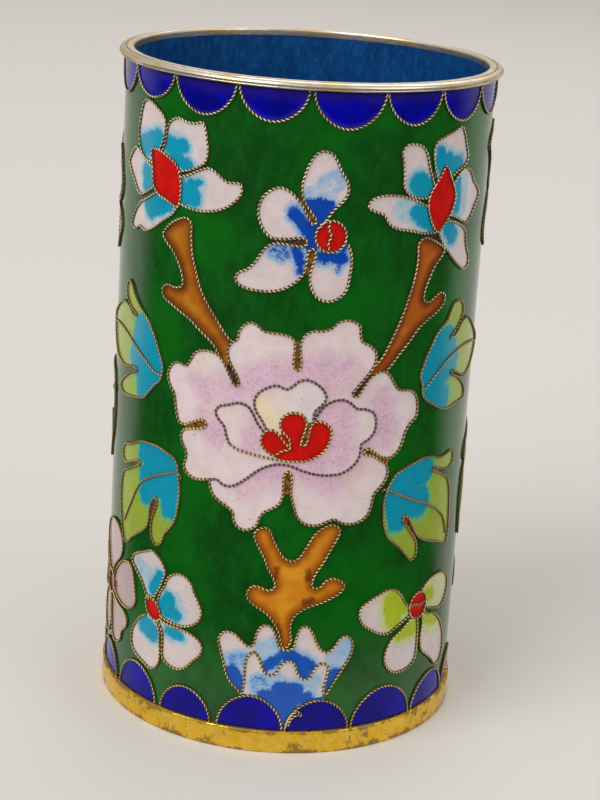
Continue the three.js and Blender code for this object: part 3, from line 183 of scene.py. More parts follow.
BLUE_BLOSSOM_WIRE = [
    (3.1, 96.2), (4.2, 97.6), (5.3, 99.2), (6.8, 100.7), (7.5, 102.2), (7.2, 103.9), (6.2, 105.4),
    (5.3, 107.2), (4.4, 108.4), (2.9, 108.8), (1.7, 108.2), (0.7, 106.6), (0.1, 104.9), (-0.3, 103.1),
    (-0.2, 101.5), (0.5, 99.9), (1.5, 98.5), (2.4, 97.1), (1.9, 96.5), (0.9, 97.9), (-0.1, 99.7),
    (-1.2, 100.9), (-2.2, 101.8), (-4.0, 102.4), (-5.7, 101.6), (-6.8, 100.4), (-7.4, 98.3), (-7.0, 96.3),
    (-6.0, 94.6), (-4.7, 93.8), (-2.6, 93.8), (-0.4, 94.1), (0.6, 94.1), (1.1, 93.4), (0.5, 92.8),
    (-1.0, 92.8), (-2.9, 93.0), (-4.3, 93.0), (-5.8, 92.1), (-6.7, 90.8), (-7.6, 89.3), (-8.8, 88.1),
    (-10.3, 87.3), (-10.8, 86.4), (-10.4, 85.5), (-8.8, 84.8), (-6.7, 84.6), (-4.5, 84.7), (-2.4, 85.3),
    (-0.6, 86.5), (0.6, 87.8), (1.1, 89.2), (1.2, 90.8), (1.5, 92.1), (2.3, 92.4), (2.6, 91.3), (2.2, 89.7),
    (1.9, 88.3), (1.9, 86.7), (2.5, 85.1), (3.6, 83.9), (5.3, 83.5), (7.1, 84.2), (8.2, 85.5), (8.6, 87.4),
    (8.8, 89.5), (8.7, 91.5), (8.0, 93.4),
]
BLUE_BLOSSOM_HEART = (5.0, 94.6, 2.6, 2.7)
SMALL_LEFT_HEART = [
    (-27.0, 23.9), (-26.9, 22.4), (-26.1, 21.1), (-24.7, 20.5), (-23.4, 20.7), (-23.0, 21.8), (-23.5, 23.1),
    (-24.7, 24.1), (-26.1, 24.5),
]
SMALL_LEFT_PETALS = [
    ((-26.2, 23.9), (-26.9, 24.5), (-28.6, 26.8), (-30.5, 28.4), (-31.9, 29.7), (-31.3, 30.9),
     (-29.4, 32.0), (-27.5, 32.8), (-26.0, 33.4), (-24.3, 32.8), (-23.0, 31.7), (-22.3, 30.3),
     (-22.7, 29.0), (-23.4, 27.2), (-24.5, 25.3), (-24.9, 24.2)),
    ((-24.0, 24.1), (-23.3, 26.2), (-22.4, 27.6), (-21.8, 29.2), (-20.7, 30.3), (-19.1, 31.0),
     (-17.5, 30.6), (-16.4, 29.7), (-15.7, 28.2), (-14.8, 26.6), (-14.1, 24.7), (-14.7, 23.0),
     (-16.0, 21.9), (-17.9, 21.2), (-20.5, 21.2), (-23.0, 21.6)),
    ((-23.5, 21.0), (-20.7, 20.6), (-18.5, 20.6), (-16.4, 20.3), (-14.8, 19.6), (-13.7, 18.3),
     (-14.0, 16.7), (-15.3, 15.3), (-16.6, 13.8), (-18.4, 12.7), (-20.7, 12.9), (-22.1, 13.9),
     (-22.3, 16.0), (-22.4, 18.5), (-23.7, 20.8)),
    ((-26.8, 20.8), (-28.5, 19.7), (-30.0, 18.0), (-31.0, 16.5), (-31.3, 14.6), (-30.6, 12.7),
     (-28.7, 11.7), (-27.1, 11.2), (-25.5, 10.7), (-24.1, 11.1), (-23.1, 12.6), (-22.9, 14.6),
     (-23.1, 16.7), (-23.2, 18.6), (-24.2, 20.5)),
]
SMALL_RIGHT_HEART = (28.8, 25.1, 2.5, 2.55)
SMALL_RIGHT_PETALS = [
    ((26.8, 23.8), (24.7, 22.9), (22.9, 22.1), (21.4, 21.4), (19.4, 21.7), (17.5, 22.75), (15.8, 24.0),
     (14.9, 25.6), (15.1, 27.3), (16.7, 28.4), (18.7, 29.3), (20.6, 29.9), (22.4, 29.5), (23.9, 28.2),
     (25.0, 26.6), (26.3, 25.3)),
    ((27.3, 23.2), (25.5, 21.9), (24.1, 21.0), (22.4, 20.0), (21.3, 18.2), (21.0, 16.2), (21.7, 14.6),
     (23.4, 13.3), (25.4, 13.0), (27.5, 13.4), (29.0, 14.5), (29.3, 16.4), (29.3, 18.6), (29.2, 20.8),
     (28.8, 22.6)),
    ((30.2, 22.9), (30.6, 21.5), (30.4, 18.0), (31.0, 15.7), (32.7, 14.2), (35.0, 12.6), (36.9, 10.9),
     (39.2, 10.5), (41.0, 12.0), (41.2, 14.2), (40.4, 16.1), (38.8, 18.4), (36.9, 20.3), (34.6, 21.8),
     (31.8, 22.6), (30.9, 23.5)),
    ((29.6, 27.4), (30.6, 28.6), (32.3, 29.3), (34.5, 29.5), (36.8, 29.3), (39.0, 28.4), (40.5, 27.0),
     (40.8, 25.2), (39.6, 23.3), (37.0, 22.3), (34.8, 22.8), (32.8, 23.4), (31.2, 24.1)),
]
SIDE_BLOSSOM_HEART = (-42.8, 21.7, 2.2, 2.2)
SIDE_BLOSSOM_PETALS = [
    ((-42.0, 23.75), (-40.4, 25.8), (-38.4, 27.3), (-36.8, 28.8), (-36.3, 30.8), (-36.9, 32.5),
     (-38.7, 33.9), (-41.2, 34.3), (-43.8, 33.8), (-46.2, 32.7), (-48.0, 30.6), (-47.7, 28.2),
     (-45.6, 26.0), (-43.8, 23.7)),
    ((-40.9, 22.9), (-39.2, 25.4), (-37.1, 27.2), (-35.0, 28.3), (-33.0, 28.6), (-31.8, 27.6),
     (-31.2, 25.9), (-30.7, 24.0), (-30.4, 22.2), (-31.3, 20.6), (-33.4, 19.6), (-35.8, 19.6),
     (-38.5, 20.2), (-40.7, 21.2)),
    ((-41.3, 20.1), (-39.4, 19.3), (-36.8, 18.7), (-34.6, 18.3), (-33.4, 17.2), (-33.8, 15.6),
     (-35.5, 14.2), (-36.2, 12.2), (-37.6, 11.3), (-39.7, 11.1), (-41.2, 12.8), (-41.7, 15.5),
     (-42.0, 18.0), (-42.2, 19.7)),
    ((-43.0, 19.5), (-42.8, 17.0), (-42.6, 13.8), (-43.4, 11.8), (-45.4, 10.9), (-47.7, 11.6),
     (-49.1, 13.4), (-49.0, 15.7), (-47.2, 17.8), (-44.6, 20.3)),
    ((-44.9, 22.0), (-46.5, 24.2), (-49.2, 26.0), (-51.8, 25.8), (-53.0, 23.6), (-52.6, 21.0),
     (-50.2, 19.4), (-47.4, 19.2), (-45.0, 20.9)),
]
LEAF_UPPER_LEFT = [
    (-25.0, 67.8), (-25.6, 69.4), (-26.7, 71.4), (-27.9, 73.3), (-29.4, 75.1), (-31.2, 76.2), (-33.1, 77.3),
    (-34.7, 78.6), (-36.0, 80.0), (-37.6, 80.5), (-38.5, 79.3), (-38.1, 77.6), (-36.6, 76.2), (-34.8, 75.6),
    (-33.5, 75.2), (-34.9, 74.9), (-37.2, 75.9), (-39.4, 76.2), (-42.0, 75.6), (-44.4, 74.4), (-46.8, 72.9),
    (-49.0, 71.2), (-47.4, 68.8), (-45.6, 66.8), (-43.7, 65.6), (-41.5, 65.0), (-38.8, 64.7), (-36.2, 65.1),
    (-33.4, 65.6), (-32.8, 65.2), (-33.6, 64.8), (-35.6, 64.0), (-37.6, 62.9), (-39.4, 61.9), (-40.7, 60.5),
    (-39.6, 59.7), (-37.4, 59.6), (-34.8, 59.9), (-32.2, 60.4), (-30.1, 61.0), (-28.5, 62.5), (-27.0, 64.1),
    (-25.5, 65.4),
]
LEAF_UPPER_LEFT_VEIN = [
    (-25.2, 66.3), (-27.0, 66.4), (-29.4, 67.6), (-32.4, 68.9), (-35.4, 70.2), (-39.2, 71.2), (-42.6, 71.4),
    (-46.0, 71.0),
]
LEAF_UPPER_RIGHT = [
    (24.9, 67.5), (24.3, 69.0), (24.8, 70.8), (25.6, 72.6), (26.7, 74.4), (27.7, 76.0), (29.2, 77.2),
    (30.7, 78.1), (31.6, 79.5), (32.6, 80.8), (34.3, 81.1), (35.9, 80.5), (36.6, 79.0), (35.9, 77.5),
    (34.6, 76.3), (33.2, 75.6), (32.3, 74.8), (33.4, 74.7), (34.9, 75.4), (36.4, 76.6), (38.6, 77.2),
    (40.9, 76.6), (43.2, 75.1), (45.6, 73.5), (47.6, 72.2), (49.2, 70.7), (47.2, 69.2), (45.2, 68.0),
    (43.0, 66.9), (40.6, 66.3), (38.2, 66.7), (35.6, 67.8), (33.8, 68.4), (33.6, 67.9), (35.6, 67.0),
    (37.9, 65.8), (39.7, 64.6), (40.9, 63.3), (40.9, 62.2), (38.8, 61.9), (36.2, 61.9), (33.4, 61.6),
    (30.8, 62.1), (28.4, 63.2), (26.5, 64.3), (25.2, 65.6),
]
LEAF_UPPER_RIGHT_VEIN = [
    (25.1, 66.3), (26.8, 67.5), (28.8, 69.1), (30.9, 70.4), (33.4, 71.4), (36.5, 72.1), (40.2, 72.2),
    (44.0, 71.8), (46.4, 71.2),
]
LEAF_LOWER_LEFT = [
    (-20.5, 50.9), (-21.4, 52.1), (-23.2, 52.7), (-25.6, 53.2), (-28.2, 53.1), (-30.6, 52.7), (-32.8, 51.7),
    (-34.9, 50.9), (-36.6, 50.4), (-37.7, 49.1), (-37.3, 47.6), (-36.1, 47.1), (-34.3, 47.7), (-32.6, 48.4),
    (-31.0, 48.9), (-30.4, 48.5), (-31.4, 47.9), (-33.2, 47.0), (-35.2, 46.0), (-36.9, 45.2), (-37.8, 43.2),
    (-38.0, 40.6), (-37.7, 38.1), (-37.1, 35.9), (-36.5, 33.8), (-35.6, 32.3), (-34.1, 32.4), (-32.9, 33.6),
    (-31.0, 34.9), (-29.2, 36.1), (-27.8, 37.4), (-27.2, 39.2), (-27.0, 41.2), (-26.4, 42.9), (-25.4, 43.6),
    (-25.1, 42.6), (-25.7, 40.9), (-26.4, 39.0), (-26.5, 37.2), (-26.0, 35.5), (-24.9, 34.8), (-23.7, 35.6),
    (-23.0, 37.4), (-21.8, 38.9), (-20.8, 40.4), (-20.2, 42.4), (-19.9, 44.8), (-19.9, 47.2), (-20.3, 49.2),
]
LEAF_LOWER_LEFT_VEIN = [
    (-20.5, 49.9), (-22.3, 49.1), (-25.0, 48.0), (-27.8, 46.6), (-30.1, 45.1), (-31.9, 42.7), (-33.4, 40.1),
    (-35.0, 37.6), (-36.0, 36.0),
]
LEAF_LOWER_RIGHT = [
    (19.3, 50.3), (20.4, 51.7), (22.2, 52.5), (24.4, 53.1), (26.8, 53.6), (29.4, 53.3), (31.8, 52.6),
    (34.2, 52.6), (36.2, 52.9), (37.6, 52.1), (37.5, 50.6), (36.0, 49.8), (34.2, 50.0), (32.2, 50.6),
    (30.4, 51.1), (29.9, 50.7), (31.4, 50.0), (33.2, 49.2), (35.0, 48.3), (36.5, 46.7), (37.4, 44.4),
    (37.9, 41.6), (38.2, 38.8), (38.1, 36.2), (37.3, 34.8), (35.6, 35.3), (33.6, 36.2), (31.2, 36.9),
    (28.9, 37.7), (27.1, 38.8), (25.9, 40.2), (24.9, 41.8), (23.9, 43.2), (22.9, 43.4), (22.7, 42.6),
    (23.9, 41.4), (25.1, 39.9), (26.2, 38.6), (26.9, 36.8), (26.7, 35.1), (25.6, 34.6), (24.2, 35.9),
    (22.7, 37.4), (21.0, 38.8), (19.5, 40.2), (18.6, 42.4), (18.3, 44.8), (18.2, 47.2), (18.7, 48.9),
]
LEAF_LOWER_RIGHT_VEIN = [
    (18.9, 49.2), (20.6, 48.2), (22.9, 47.1), (25.6, 45.9), (28.3, 44.9), (30.6, 43.7), (32.9, 42.4),
    (35.0, 40.7), (36.4, 38.6), (37.1, 36.8),
]
BRANCH_LEFT_LEFT_SIDE = [
    (-20.9, 95.0), (-22.3, 94.6), (-23.8, 93.8), (-25.0, 92.8), (-26.2, 91.2), (-25.2, 90.0), (-23.8, 89.0),
    (-22.4, 87.3), (-21.3, 85.2), (-21.1, 83.3), (-22.6, 82.6), (-24.6, 82.7), (-25.8, 81.8), (-25.4, 80.4),
    (-23.7, 79.6), (-21.5, 78.7), (-19.2, 77.7), (-16.9, 76.1), (-15.1, 74.9), (-13.9, 73.8),
]
BRANCH_LEFT_RIGHT_SIDE = [
    (-19.8, 94.4), (-19.6, 91.9), (-19.25, 89.2), (-18.4, 86.5), (-17.2, 83.4), (-15.7, 81.0),
    (-14.2, 79.1), (-12.8, 77.3), (-11.6, 75.9),
]
BRANCH_RIGHT_LEFT_SIDE = [
    (22.8, 93.7), (21.5, 93.0), (21.5, 89.9), (21.0, 86.6), (20.2, 83.8), (19.4, 81.4), (18.3, 78.7),
    (17.0, 76.0), (15.7, 73.6),
]
BRANCH_RIGHT_RIGHT_SIDE = [
    (24.4, 93.3), (26.2, 92.4), (27.9, 91.2), (27.3, 90.1), (25.6, 88.4), (24.4, 86.2), (23.6, 84.1),
    (23.7, 82.7), (24.9, 82.3), (26.4, 83.0), (27.9, 83.6), (29.1, 82.9), (28.9, 81.5), (27.1, 80.2),
    (24.8, 79.1), (22.8, 77.8), (21.0, 75.8), (19.1, 73.8), (17.9, 72.4),
]
TRUNK = [
    (1.1, 20.4), (1.9, 20.6), (2.5, 21.8), (2.3, 23.3), (2.3, 25.0), (2.8, 26.4), (4.0, 27.5), (5.5, 28.3),
    (7.8, 29.1), (9.6, 30.0), (10.9, 30.8), (11.5, 32.0), (10.5, 33.1), (9.2, 33.5), (8.0, 33.1),
    (7.1, 32.0), (5.9, 31.8), (5.6, 32.9), (6.3, 34.8), (7.5, 36.8), (8.6, 39.1), (9.4, 40.6), (10.0, 42.2),
    (9.6, 43.1), (8.4, 43.6), (6.7, 42.9), (5.5, 41.8), (4.4, 39.8), (3.2, 37.7), (2.1, 36.8), (0.5, 37.3),
    (-0.6, 38.7), (-1.8, 41.0), (-2.3, 42.2), (-3.1, 42.7), (-4.5, 42.2), (-5.0, 41.4), (-4.9, 40.6),
    (-4.3, 39.3), (-3.1, 37.2), (-2.3, 35.2), (-1.4, 33.7), (-0.9, 32.2), (-1.2, 31.4), (-2.2, 31.1),
    (-3.7, 31.6), (-4.8, 31.6), (-5.6, 30.6), (-5.7, 29.5), (-4.7, 28.3), (-2.9, 27.2), (-1.6, 26.2),
    (-0.6, 24.8), (0.2, 23.3), (0.7, 21.4),
]
ROCK_OUTER = [
    (-5.9, 10.7), (-6.6, 11.6), (-7.7, 12.5), (-8.7, 14.1), (-9.5, 16.8), (-10.2, 19.1), (-10.5, 20.8),
    (-9.5, 22.2), (-7.8, 22.2), (-6.3, 21.0), (-5.0, 20.1), (-4.1, 20.6), (-3.7, 22.6), (-2.9, 24.1),
    (-1.8, 24.5), (-0.7, 23.7), (0.0, 22.0), (0.6, 20.4), (1.8, 19.9), (2.9, 20.4), (3.4, 22.4),
    (4.2, 24.3), (5.3, 24.5), (6.2, 23.4), (7.0, 21.7), (8.0, 20.0), (9.2, 19.4), (10.3, 20.2),
    (11.3, 21.7), (12.5, 22.3), (13.7, 21.4), (14.0, 20.2), (13.6, 18.3), (12.5, 16.4), (10.9, 13.7),
    (9.3, 10.9),
]
ROCK_INNER = [
    (-5.7, 10.9), (-5.4, 13.3), (-5.4, 16.0), (-5.0, 18.1), (-3.9, 19.1), (-2.9, 17.9), (-2.2, 16.0),
    (-1.2, 14.9), (0.0, 15.2), (0.9, 16.8), (2.3, 17.9), (3.4, 17.3), (4.0, 15.6), (5.2, 14.3), (6.3, 14.7),
    (7.1, 16.4), (8.4, 17.3), (9.5, 16.6), (9.4, 14.8), (9.0, 12.5), (9.1, 11.0),
]
ROCK_FOOT = [
    (9.2, 10.2), (8.0, 10.2), (6.2, 9.9), (4.6, 8.9), (3.4, 7.6), (2.6, 6.0), (2.1, 5.0), (1.5, 6.0),
    (0.9, 7.5), (-0.4, 9.1), (-2.0, 10.1), (-4.2, 10.6), (-5.6, 10.4),
]

# Ends of the branches under the peony, so that no green shows between them
BRANCH_LEFT_END = [(-12.9, 72.4), (-11.5, 70.8), (-11.2, 71.6), (-11.4, 74.0)]
BRANCH_RIGHT_END = [(14.6, 72.4), (13.8, 70.9), (14.6, 70.2), (16.3, 70.9)]

# Brush strokes in a cell: start, end, half the stroke's width. A wash is a stroke that stays pale.
WASH = -0.5
PALE = -0.02
PRUNUS_LEFT_STROKES = [
    [((-33.2, 105.6), (-28.8, 107.0), 1.8), ((-32.8, 104.6), (-30.4, 104.9), 1.2)],
    [((-25.6, 106.6), (-22.6, 106.8), 1.5), ((-24.3, 105.0), (-21.4, 103.6), 1.3)],
    [((-22.0, 99.2), (-20.0, 98.8), 1.9), ((-20.6, 101.0), (-18.4, 101.3), 0.6)],
    [((-32.0, 100.8), (-31.6, 98.6), 1.7)],
    [((-30.4, 95.0), (-25.6, 97.0), 1.9)],
]
PRUNUS_RIGHT_STROKES = [
    [((20.6, 103.3), (22.0, 102.2), 2.0)],
    [((25.2, 106.3), (30.4, 105.6), 1.6), ((25.2, 108.2), (25.2, 106.0), 1.1),
     ((27.6, 107.2), (28.4, 106.0), 0.9)],
    [((30.3, 102.6), (30.8, 98.4), 1.3), ((31.7, 101.8), (31.9, 98.4), 1.6, WASH)],
    [((28.8, 94.9), (30.2, 93.2), 1.6)],
    [((20.8, 98.3), (24.0, 96.0), 1.5), ((22.4, 99.0), (22.8, 98.0), 0.8),
     ((17.6, 99.0), (19.4, 98.6), 1.1, WASH)],
]
SMALL_LEFT_STROKES = [
    [((-25.3, 26.2), (-23.8, 28.7), 1.4), ((-29.0, 28.7), (-27.0, 28.0), 1.3, WASH)],
    [((-22.6, 23.6), (-21.3, 25.4), 1.5), ((-22.0, 23.2), (-19.6, 22.9), 1.3),
     ((-20.0, 25.4), (-19.0, 24.0), 1.0, WASH)],
    [((-21.2, 19.4), (-18.6, 19.0), 1.0)],
    [((-27.2, 18.4), (-25.2, 17.8), 1.9)],
]
SMALL_RIGHT_STROKES = [
    [((22.0, 27.6), (22.6, 24.2), 2.3), ((24.4, 26.2), (25.2, 25.0), 1.1)],
    [((24.6, 20.7), (28.2, 20.8), 1.8)],
    [((31.4, 21.4), (36.2, 20.2), 1.2), ((33.0, 20.4), (38.0, 18.8), 1.3, WASH)],
    [((31.8, 26.2), (33.0, 26.0), 1.6), ((33.0, 26.2), (37.4, 26.0), 2.8, WASH)],
]
SIDE_STROKES = [
    [((-42.4, 24.2), (-41.8, 25.0), 0.3)],
    [((-40.3, 21.9), (-39.6, 21.7), 0.7)],
    [((-41.2, 19.6), (-40.6, 19.0), 0.3)],
    [((-43.4, 19.2), (-43.6, 18.4), 0.3)],
    [((-45.6, 21.8), (-46.4, 21.9), 0.3)],
]
BLUE_STROKES = [
    ((1.2, 100.0), (4.6, 99.8), 0.9), ((2.9, 97.6), (2.9, 99.4), 1.6),
    ((1.4, 101.4), (3.8, 101.4), 0.9, WASH), ((4.0, 103.2), (5.8, 104.2), 1.2, WASH),
    ((-1.3, 98.2), (1.6, 95.0), 1.1), ((-4.0, 91.4), (-1.6, 91.6), 1.1, PALE),
    ((-0.9, 92.0), (0.4, 90.0), 0.9), ((0.4, 90.6), (0.2, 88.6), 0.6), ((1.9, 92.6), (1.9, 95.6), 1.0),
    ((3.9, 91.0), (7.4, 91.0), 1.0), ((6.6, 90.0), (6.6, 89.2), 0.4), ((7.2, 92.2), (7.8, 93.2), 0.6),
]
LEAF_UPPER_LEFT_STROKES = [
    ((-26.0, 67.4), (-31.4, 71.8), 3.9), ((-26.0, 66.5), (-33.2, 67.4), 3.4),
    ((-26.0, 65.5), (-30.6, 62.8), 2.8),
]
LEAF_UPPER_RIGHT_STROKES = [
    ((26.0, 67.4), (31.0, 73.2), 4.2), ((27.0, 67.0), (33.2, 70.4), 3.2), ((28.0, 66.0), (31.4, 64.0), 2.6),
]
LEAF_LOWER_LEFT_STROKES = [
    ((-22.0, 50.0), (-28.6, 51.0), 2.9), ((-22.5, 47.2), (-27.8, 46.0), 3.3),
    ((-22.0, 45.0), (-22.4, 42.4), 2.1), ((-27.0, 44.0), (-28.6, 43.0), 1.9),
]
LEAF_LOWER_RIGHT_STROKES = [
    ((21.0, 50.0), (27.6, 51.2), 2.9), ((21.0, 47.0), (26.8, 45.4), 3.2), ((20.8, 45.0), (21.4, 42.6), 2.2),
]
ROCK_STROKES = [
    ((-7.8, 14.4), (-6.6, 12.4), 1.7), ((-7.6, 17.0), (-5.6, 17.4), 1.1, PALE),
    ((-1.8, 16.4), (0.2, 18.0), 1.1), ((-1.8, 19.6), (0.0, 20.4), 1.2, WASH),
    ((1.6, 19.0), (6.0, 16.8), 1.4), ((5.2, 15.6), (5.4, 17.0), 1.4), ((10.8, 14.8), (9.8, 12.0), 1.6),
    ((10.8, 18.2), (12.4, 19.8), 1.1, WASH), ((2.1, 9.4), (2.1, 6.2), 2.6),
    ((-5.4, 10.8), (-1.5, 10.2), 0.9), ((5.6, 9.9), (8.6, 10.6), 0.8),
]
ROCK_INNER_STROKES = [
    ((0.8, 12.4), (4.2, 12.4), 1.3), ((-1.6, 10.6), (5.8, 10.4), 1.5), ((2.1, 9.6), (2.1, 8.6), 2.6),
    ((-2.8, 13.2), (-2.2, 12.2), 1.3, PALE), ((-1.2, 13.0), (-0.4, 14.2), 1.0, WASH),
    ((5.8, 12.6), (6.4, 13.6), 1.3, WASH),
]
TRUNK_BURNS = [
    ((-1.0, 33.6), (-0.7, 35.2), 0.7), ((4.9, 33.2), (4.9, 34.8), 0.7), ((4.6, 29.2), (5.8, 29.5), 0.8),
    ((0.7, 22.4), (0.0, 24.6), 0.5),
]

# Slits so narrow that solder fills them
PEONY_BROWN_SLITS = [PEONY_OUTLINE[122:128] + [(-11.0, 71.4)], PEONY_OUTLINE[21:27] + [(13.4, 70.4)]]
PEONY_SLITS = [
    [(0.1, 76.3)] + PEONY_OUTLINE[1:7],
    PEONY_MIDDLE_SEED[:3] + [(2.9, 62.0), (3.9, 62.2)] + PEONY_LEFT_PETAL[25:],
    PEONY_OUTLINE[69:74] + [(-0.4, 49.2), (0.9, 49.2)],
    PEONY_OUTLINE[102:106] + PEONY_OUTLINE[98:102],
    PEONY_OUTLINE[47:52] + PEONY_OUTLINE[43:47],
]
UPPER_LEFT_SLITS = [
    LEAF_UPPER_LEFT[13:16] + [(-36.0, 75.3), (-35.8, 75.8)],
    [(-35.0, 65.3)] + LEAF_UPPER_LEFT[28:31] + [(-34.8, 64.4)],
]
UPPER_RIGHT_SLITS = [
    LEAF_UPPER_RIGHT[15:18] + [(34.5, 75.2), (34.2, 76.0)],
    [(34.8, 68.1), (33.8, 68.4), (33.6, 67.9), (34.9, 67.3)],
]
LOWER_LEFT_SLITS = [
    LEAF_LOWER_LEFT[32:38] + LEAF_LOWER_LEFT[31:32],
    LEAF_LOWER_LEFT[13:17] + [(-32.4, 47.5)],
]
LOWER_RIGHT_SLITS = [
    LEAF_LOWER_RIGHT[32:38] + LEAF_LOWER_RIGHT[29:32],
    LEAF_LOWER_RIGHT[13:17] + [(32.2, 49.7)],
]
BLUE_GILT_SLITS = [
    [(-0.6, 100.5), (0.4, 99.0), (1.5, 97.1), (2.2, 96.4), (2.4, 97.1), (1.5, 98.5), (0.5, 99.9),
     (-0.2, 101.5)],
    [(2.6, 91.3), (2.3, 92.4), (1.5, 92.1), (1.2, 90.8), (1.1, 89.2), (1.0, 88.1), (1.9, 88.1), (2.2, 89.7)],
]
SMALL_LEFT_GILT_FILL = [
    (-23.8, 20.6), (-23.2, 20.0), (-22.4, 18.5), (-22.3, 16.0), (-22.4, 14.2), (-22.9, 14.6), (-23.1, 16.7),
    (-23.2, 18.6),
]
LEFT_BROWN_FILL = [
    (-22.6, 102.5), (-20.6, 103.1), (-18.7, 103.9), (-18.9, 103.5), (-20.4, 102.6), (-22.3, 101.8),
]
RIGHT_BROWN_FILL = [(23.2, 94.2), (25.6, 94.3), (26.6, 93.0), (24.6, 93.3)]
BLUE_BROWN_SLIT = BLUE_BLOSSOM_WIRE[29:38]

# Twisted wire that isn't an outline
BLUE_HEART_DIVIDER = [(4.75, 97.1), (4.5, 96.0), (5.0, 94.8), (4.6, 93.4), (4.9, 92.1)]
SMALL_RIGHT_DIVIDER = [(26.1, 25.3), (27.6, 25.5), (29.3, 25.1), (31.1, 25.4)]
LEAF_LOWER_LEFT_TAIL = [(-20.5, 49.9), (-20.0, 49.4), (-19.6, 48.7)]
LEAF_LOWER_RIGHT_TAIL = [(18.9, 49.2), (18.2, 49.3), (17.6, 49.0)]
SCALLOP_HOOKS = [
    [(2.5, 5.2), (3.0, 6.7), (3.7, 7.6), (4.5, 8.0), (5.0, 7.7), (5.2, 7.0)],
    [(2.9, 5.3), (3.4, 6.5), (4.1, 7.2), (4.8, 7.3)],
]

# Copies at the sides, where the photograph shows more wire edge-on: (name, distance along the wall, lift)
SIDE_BLOSSOM_COPIES = (("left_side_", -29.5, 71.3), ("right_side_", 75.7, 77.0))
SIDE_LEAF_COPIES = (("left_side_", -24.5, 9.0), ("right_side_", 81.3, 1.0))

# Scallops that the front shows, (left end, right end, far height); the rest are nearly even
UPPER_SCALLOPS = [
    (-36.8, -24.8, 113.9), (-24.3, -12.2, 112.9), (-11.7, 0.1, 113.1), (0.8, 13.0, 112.5),
    (13.3, 24.2, 113.1), (24.6, 36.1, 113.1),
]
LOWER_SCALLOPS = [
    (-48.6, -37.0, 9.9), (-35.3, -23.5, 10.5), (-22.2, -11.5, 9.8), (-10.1, 1.8, 10.6), (2.3, 14.0, 10.1),
    (14.6, 28.1, 11.0), (28.9, 41.7, 10.0),
]
SCALLOPS = 16
SCALLOP_POWER = 1.9


def smooth(points, closed, step):
    """Even steps along the centripetal curve through the points."""
    SAMPLES = 8
    knots = np.array(points, float)
    if closed:
        ring = np.vstack([knots[-1:], knots, knots[:2]])
    else:
        ring = np.vstack([2 * knots[:1] - knots[1:2], knots, 2 * knots[-1:] - knots[-2:-1]])
    samples = []
    for p0, p1, p2, p3 in zip(ring[:-3], ring[1:-2], ring[2:-1], ring[3:]):
        t1 = np.linalg.norm(p1 - p0) ** 0.5
        t2 = t1 + np.linalg.norm(p2 - p1) ** 0.5
        t3 = t2 + np.linalg.norm(p3 - p2) ** 0.5
        t = np.linspace(t1, t2, SAMPLES, endpoint=False)[:, None]
        a1 = p0 + (p1 - p0) * t / t1
        a2 = p1 + (p2 - p1) * (t - t1) / (t2 - t1)
        a3 = p2 + (p3 - p2) * (t - t2) / (t3 - t2)
        b1 = a1 + (a2 - a1) * t / t2
        b2 = a2 + (a3 - a2) * (t - t1) / (t3 - t1)
        samples.append(b1 + (b2 - b1) * (t - t1) / (t2 - t1))
    samples = np.vstack(samples + [knots[:1] if closed else knots[-1:]])
    run = np.concatenate([[0], np.cumsum(np.linalg.norm(np.diff(samples, axis=0), axis=1))])
    count = max(3, round(run[-1] / step))
    where = np.linspace(0, run[-1], count + 1)[: count if closed else count + 1]
    return np.stack([np.interp(where, run, samples[:, axis]) for axis in (0, 1)], axis=1)


def ellipse(s, z, half_width, half_height):
    POINTS = 16
    turns = np.arange(POINTS) / POINTS * 2 * math.pi
    return [(s + half_width * math.cos(a), z + half_height * math.sin(a)) for a in turns]


def on_wall(flat, radius):
    """Points of the drawing on the wall, in metres.

    Those at the sides are set back, because there the photograph shows the wire's crown and not its root.
    """
    SIGHT_LEAN, SHALLOWEST_SIGHT = 0.09, 0.2
    seen = flat[:, 0] / WALL_R
    angle = seen - STANDOFF / WALL_R * np.sin(seen) / np.maximum(np.cos(seen) - SIGHT_LEAN, SHALLOWEST_SIGHT)
    return np.stack([radius * np.sin(angle), -radius * np.cos(angle), flat[:, 1]], axis=1) * MM


def to_line(points, starts, ends):
    """Each point's distance to the nearest of the segments."""
    along = ends - starts
    length = np.maximum((along ** 2).sum(axis=1), NOT_ZERO)
    away = points[:, None, :] - starts[None]
    t = np.clip((away * along[None]).sum(axis=2) / length, 0, 1)
    return np.linalg.norm(away - t[:, :, None] * along[None], axis=2)


def inside(points, outline):
    """Which points lie inside the closed outline."""
    ends = np.roll(outline, -1, axis=0)
    above = (outline[None, :, 1] > points[:, None, 1]) != (ends[None, :, 1] > points[:, None, 1])
    rise = np.where(ends[:, 1] == outline[:, 1], NOT_ZERO, ends[:, 1] - outline[:, 1])
    cross = outline[:, 0] + (points[:, None, 1] - outline[:, 1]) / rise * (ends[:, 0] - outline[:, 0])
    return ((above & (points[:, None, 0] < cross)).sum(axis=1) % 2) == 1


# Objects
def pick(*objects):
    """Nothing but these is selected, and the first is active."""
    bpy.ops.object.select_all(action="DESELECT")
    for item in objects:
        item.select_set(True)
    bpy.context.view_layer.objects.active = objects[0]


def new_object(name, data):
    item = bpy.data.objects.new(name, data)
    bpy.context.scene.collection.objects.link(item)
    return item


def finished(item, slot, *nodes):
    """The piece rides on the pot and stands for its CAD nodes."""
    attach(item, "root")
    if nodes:
        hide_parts(*nodes)
    return item


def copied(where, item, slot, along, lift):
    """A copy of a piece of the spray, further along the wall and higher."""
    copy = new_object(where + item.name, item.data.copy())
    copy.data.transform(Matrix.Rotation(along / WALL_R, 4, "Z"))
    copy.data.transform(Matrix.Translation((0, 0, lift * MM)))
    return finished(copy, slot)


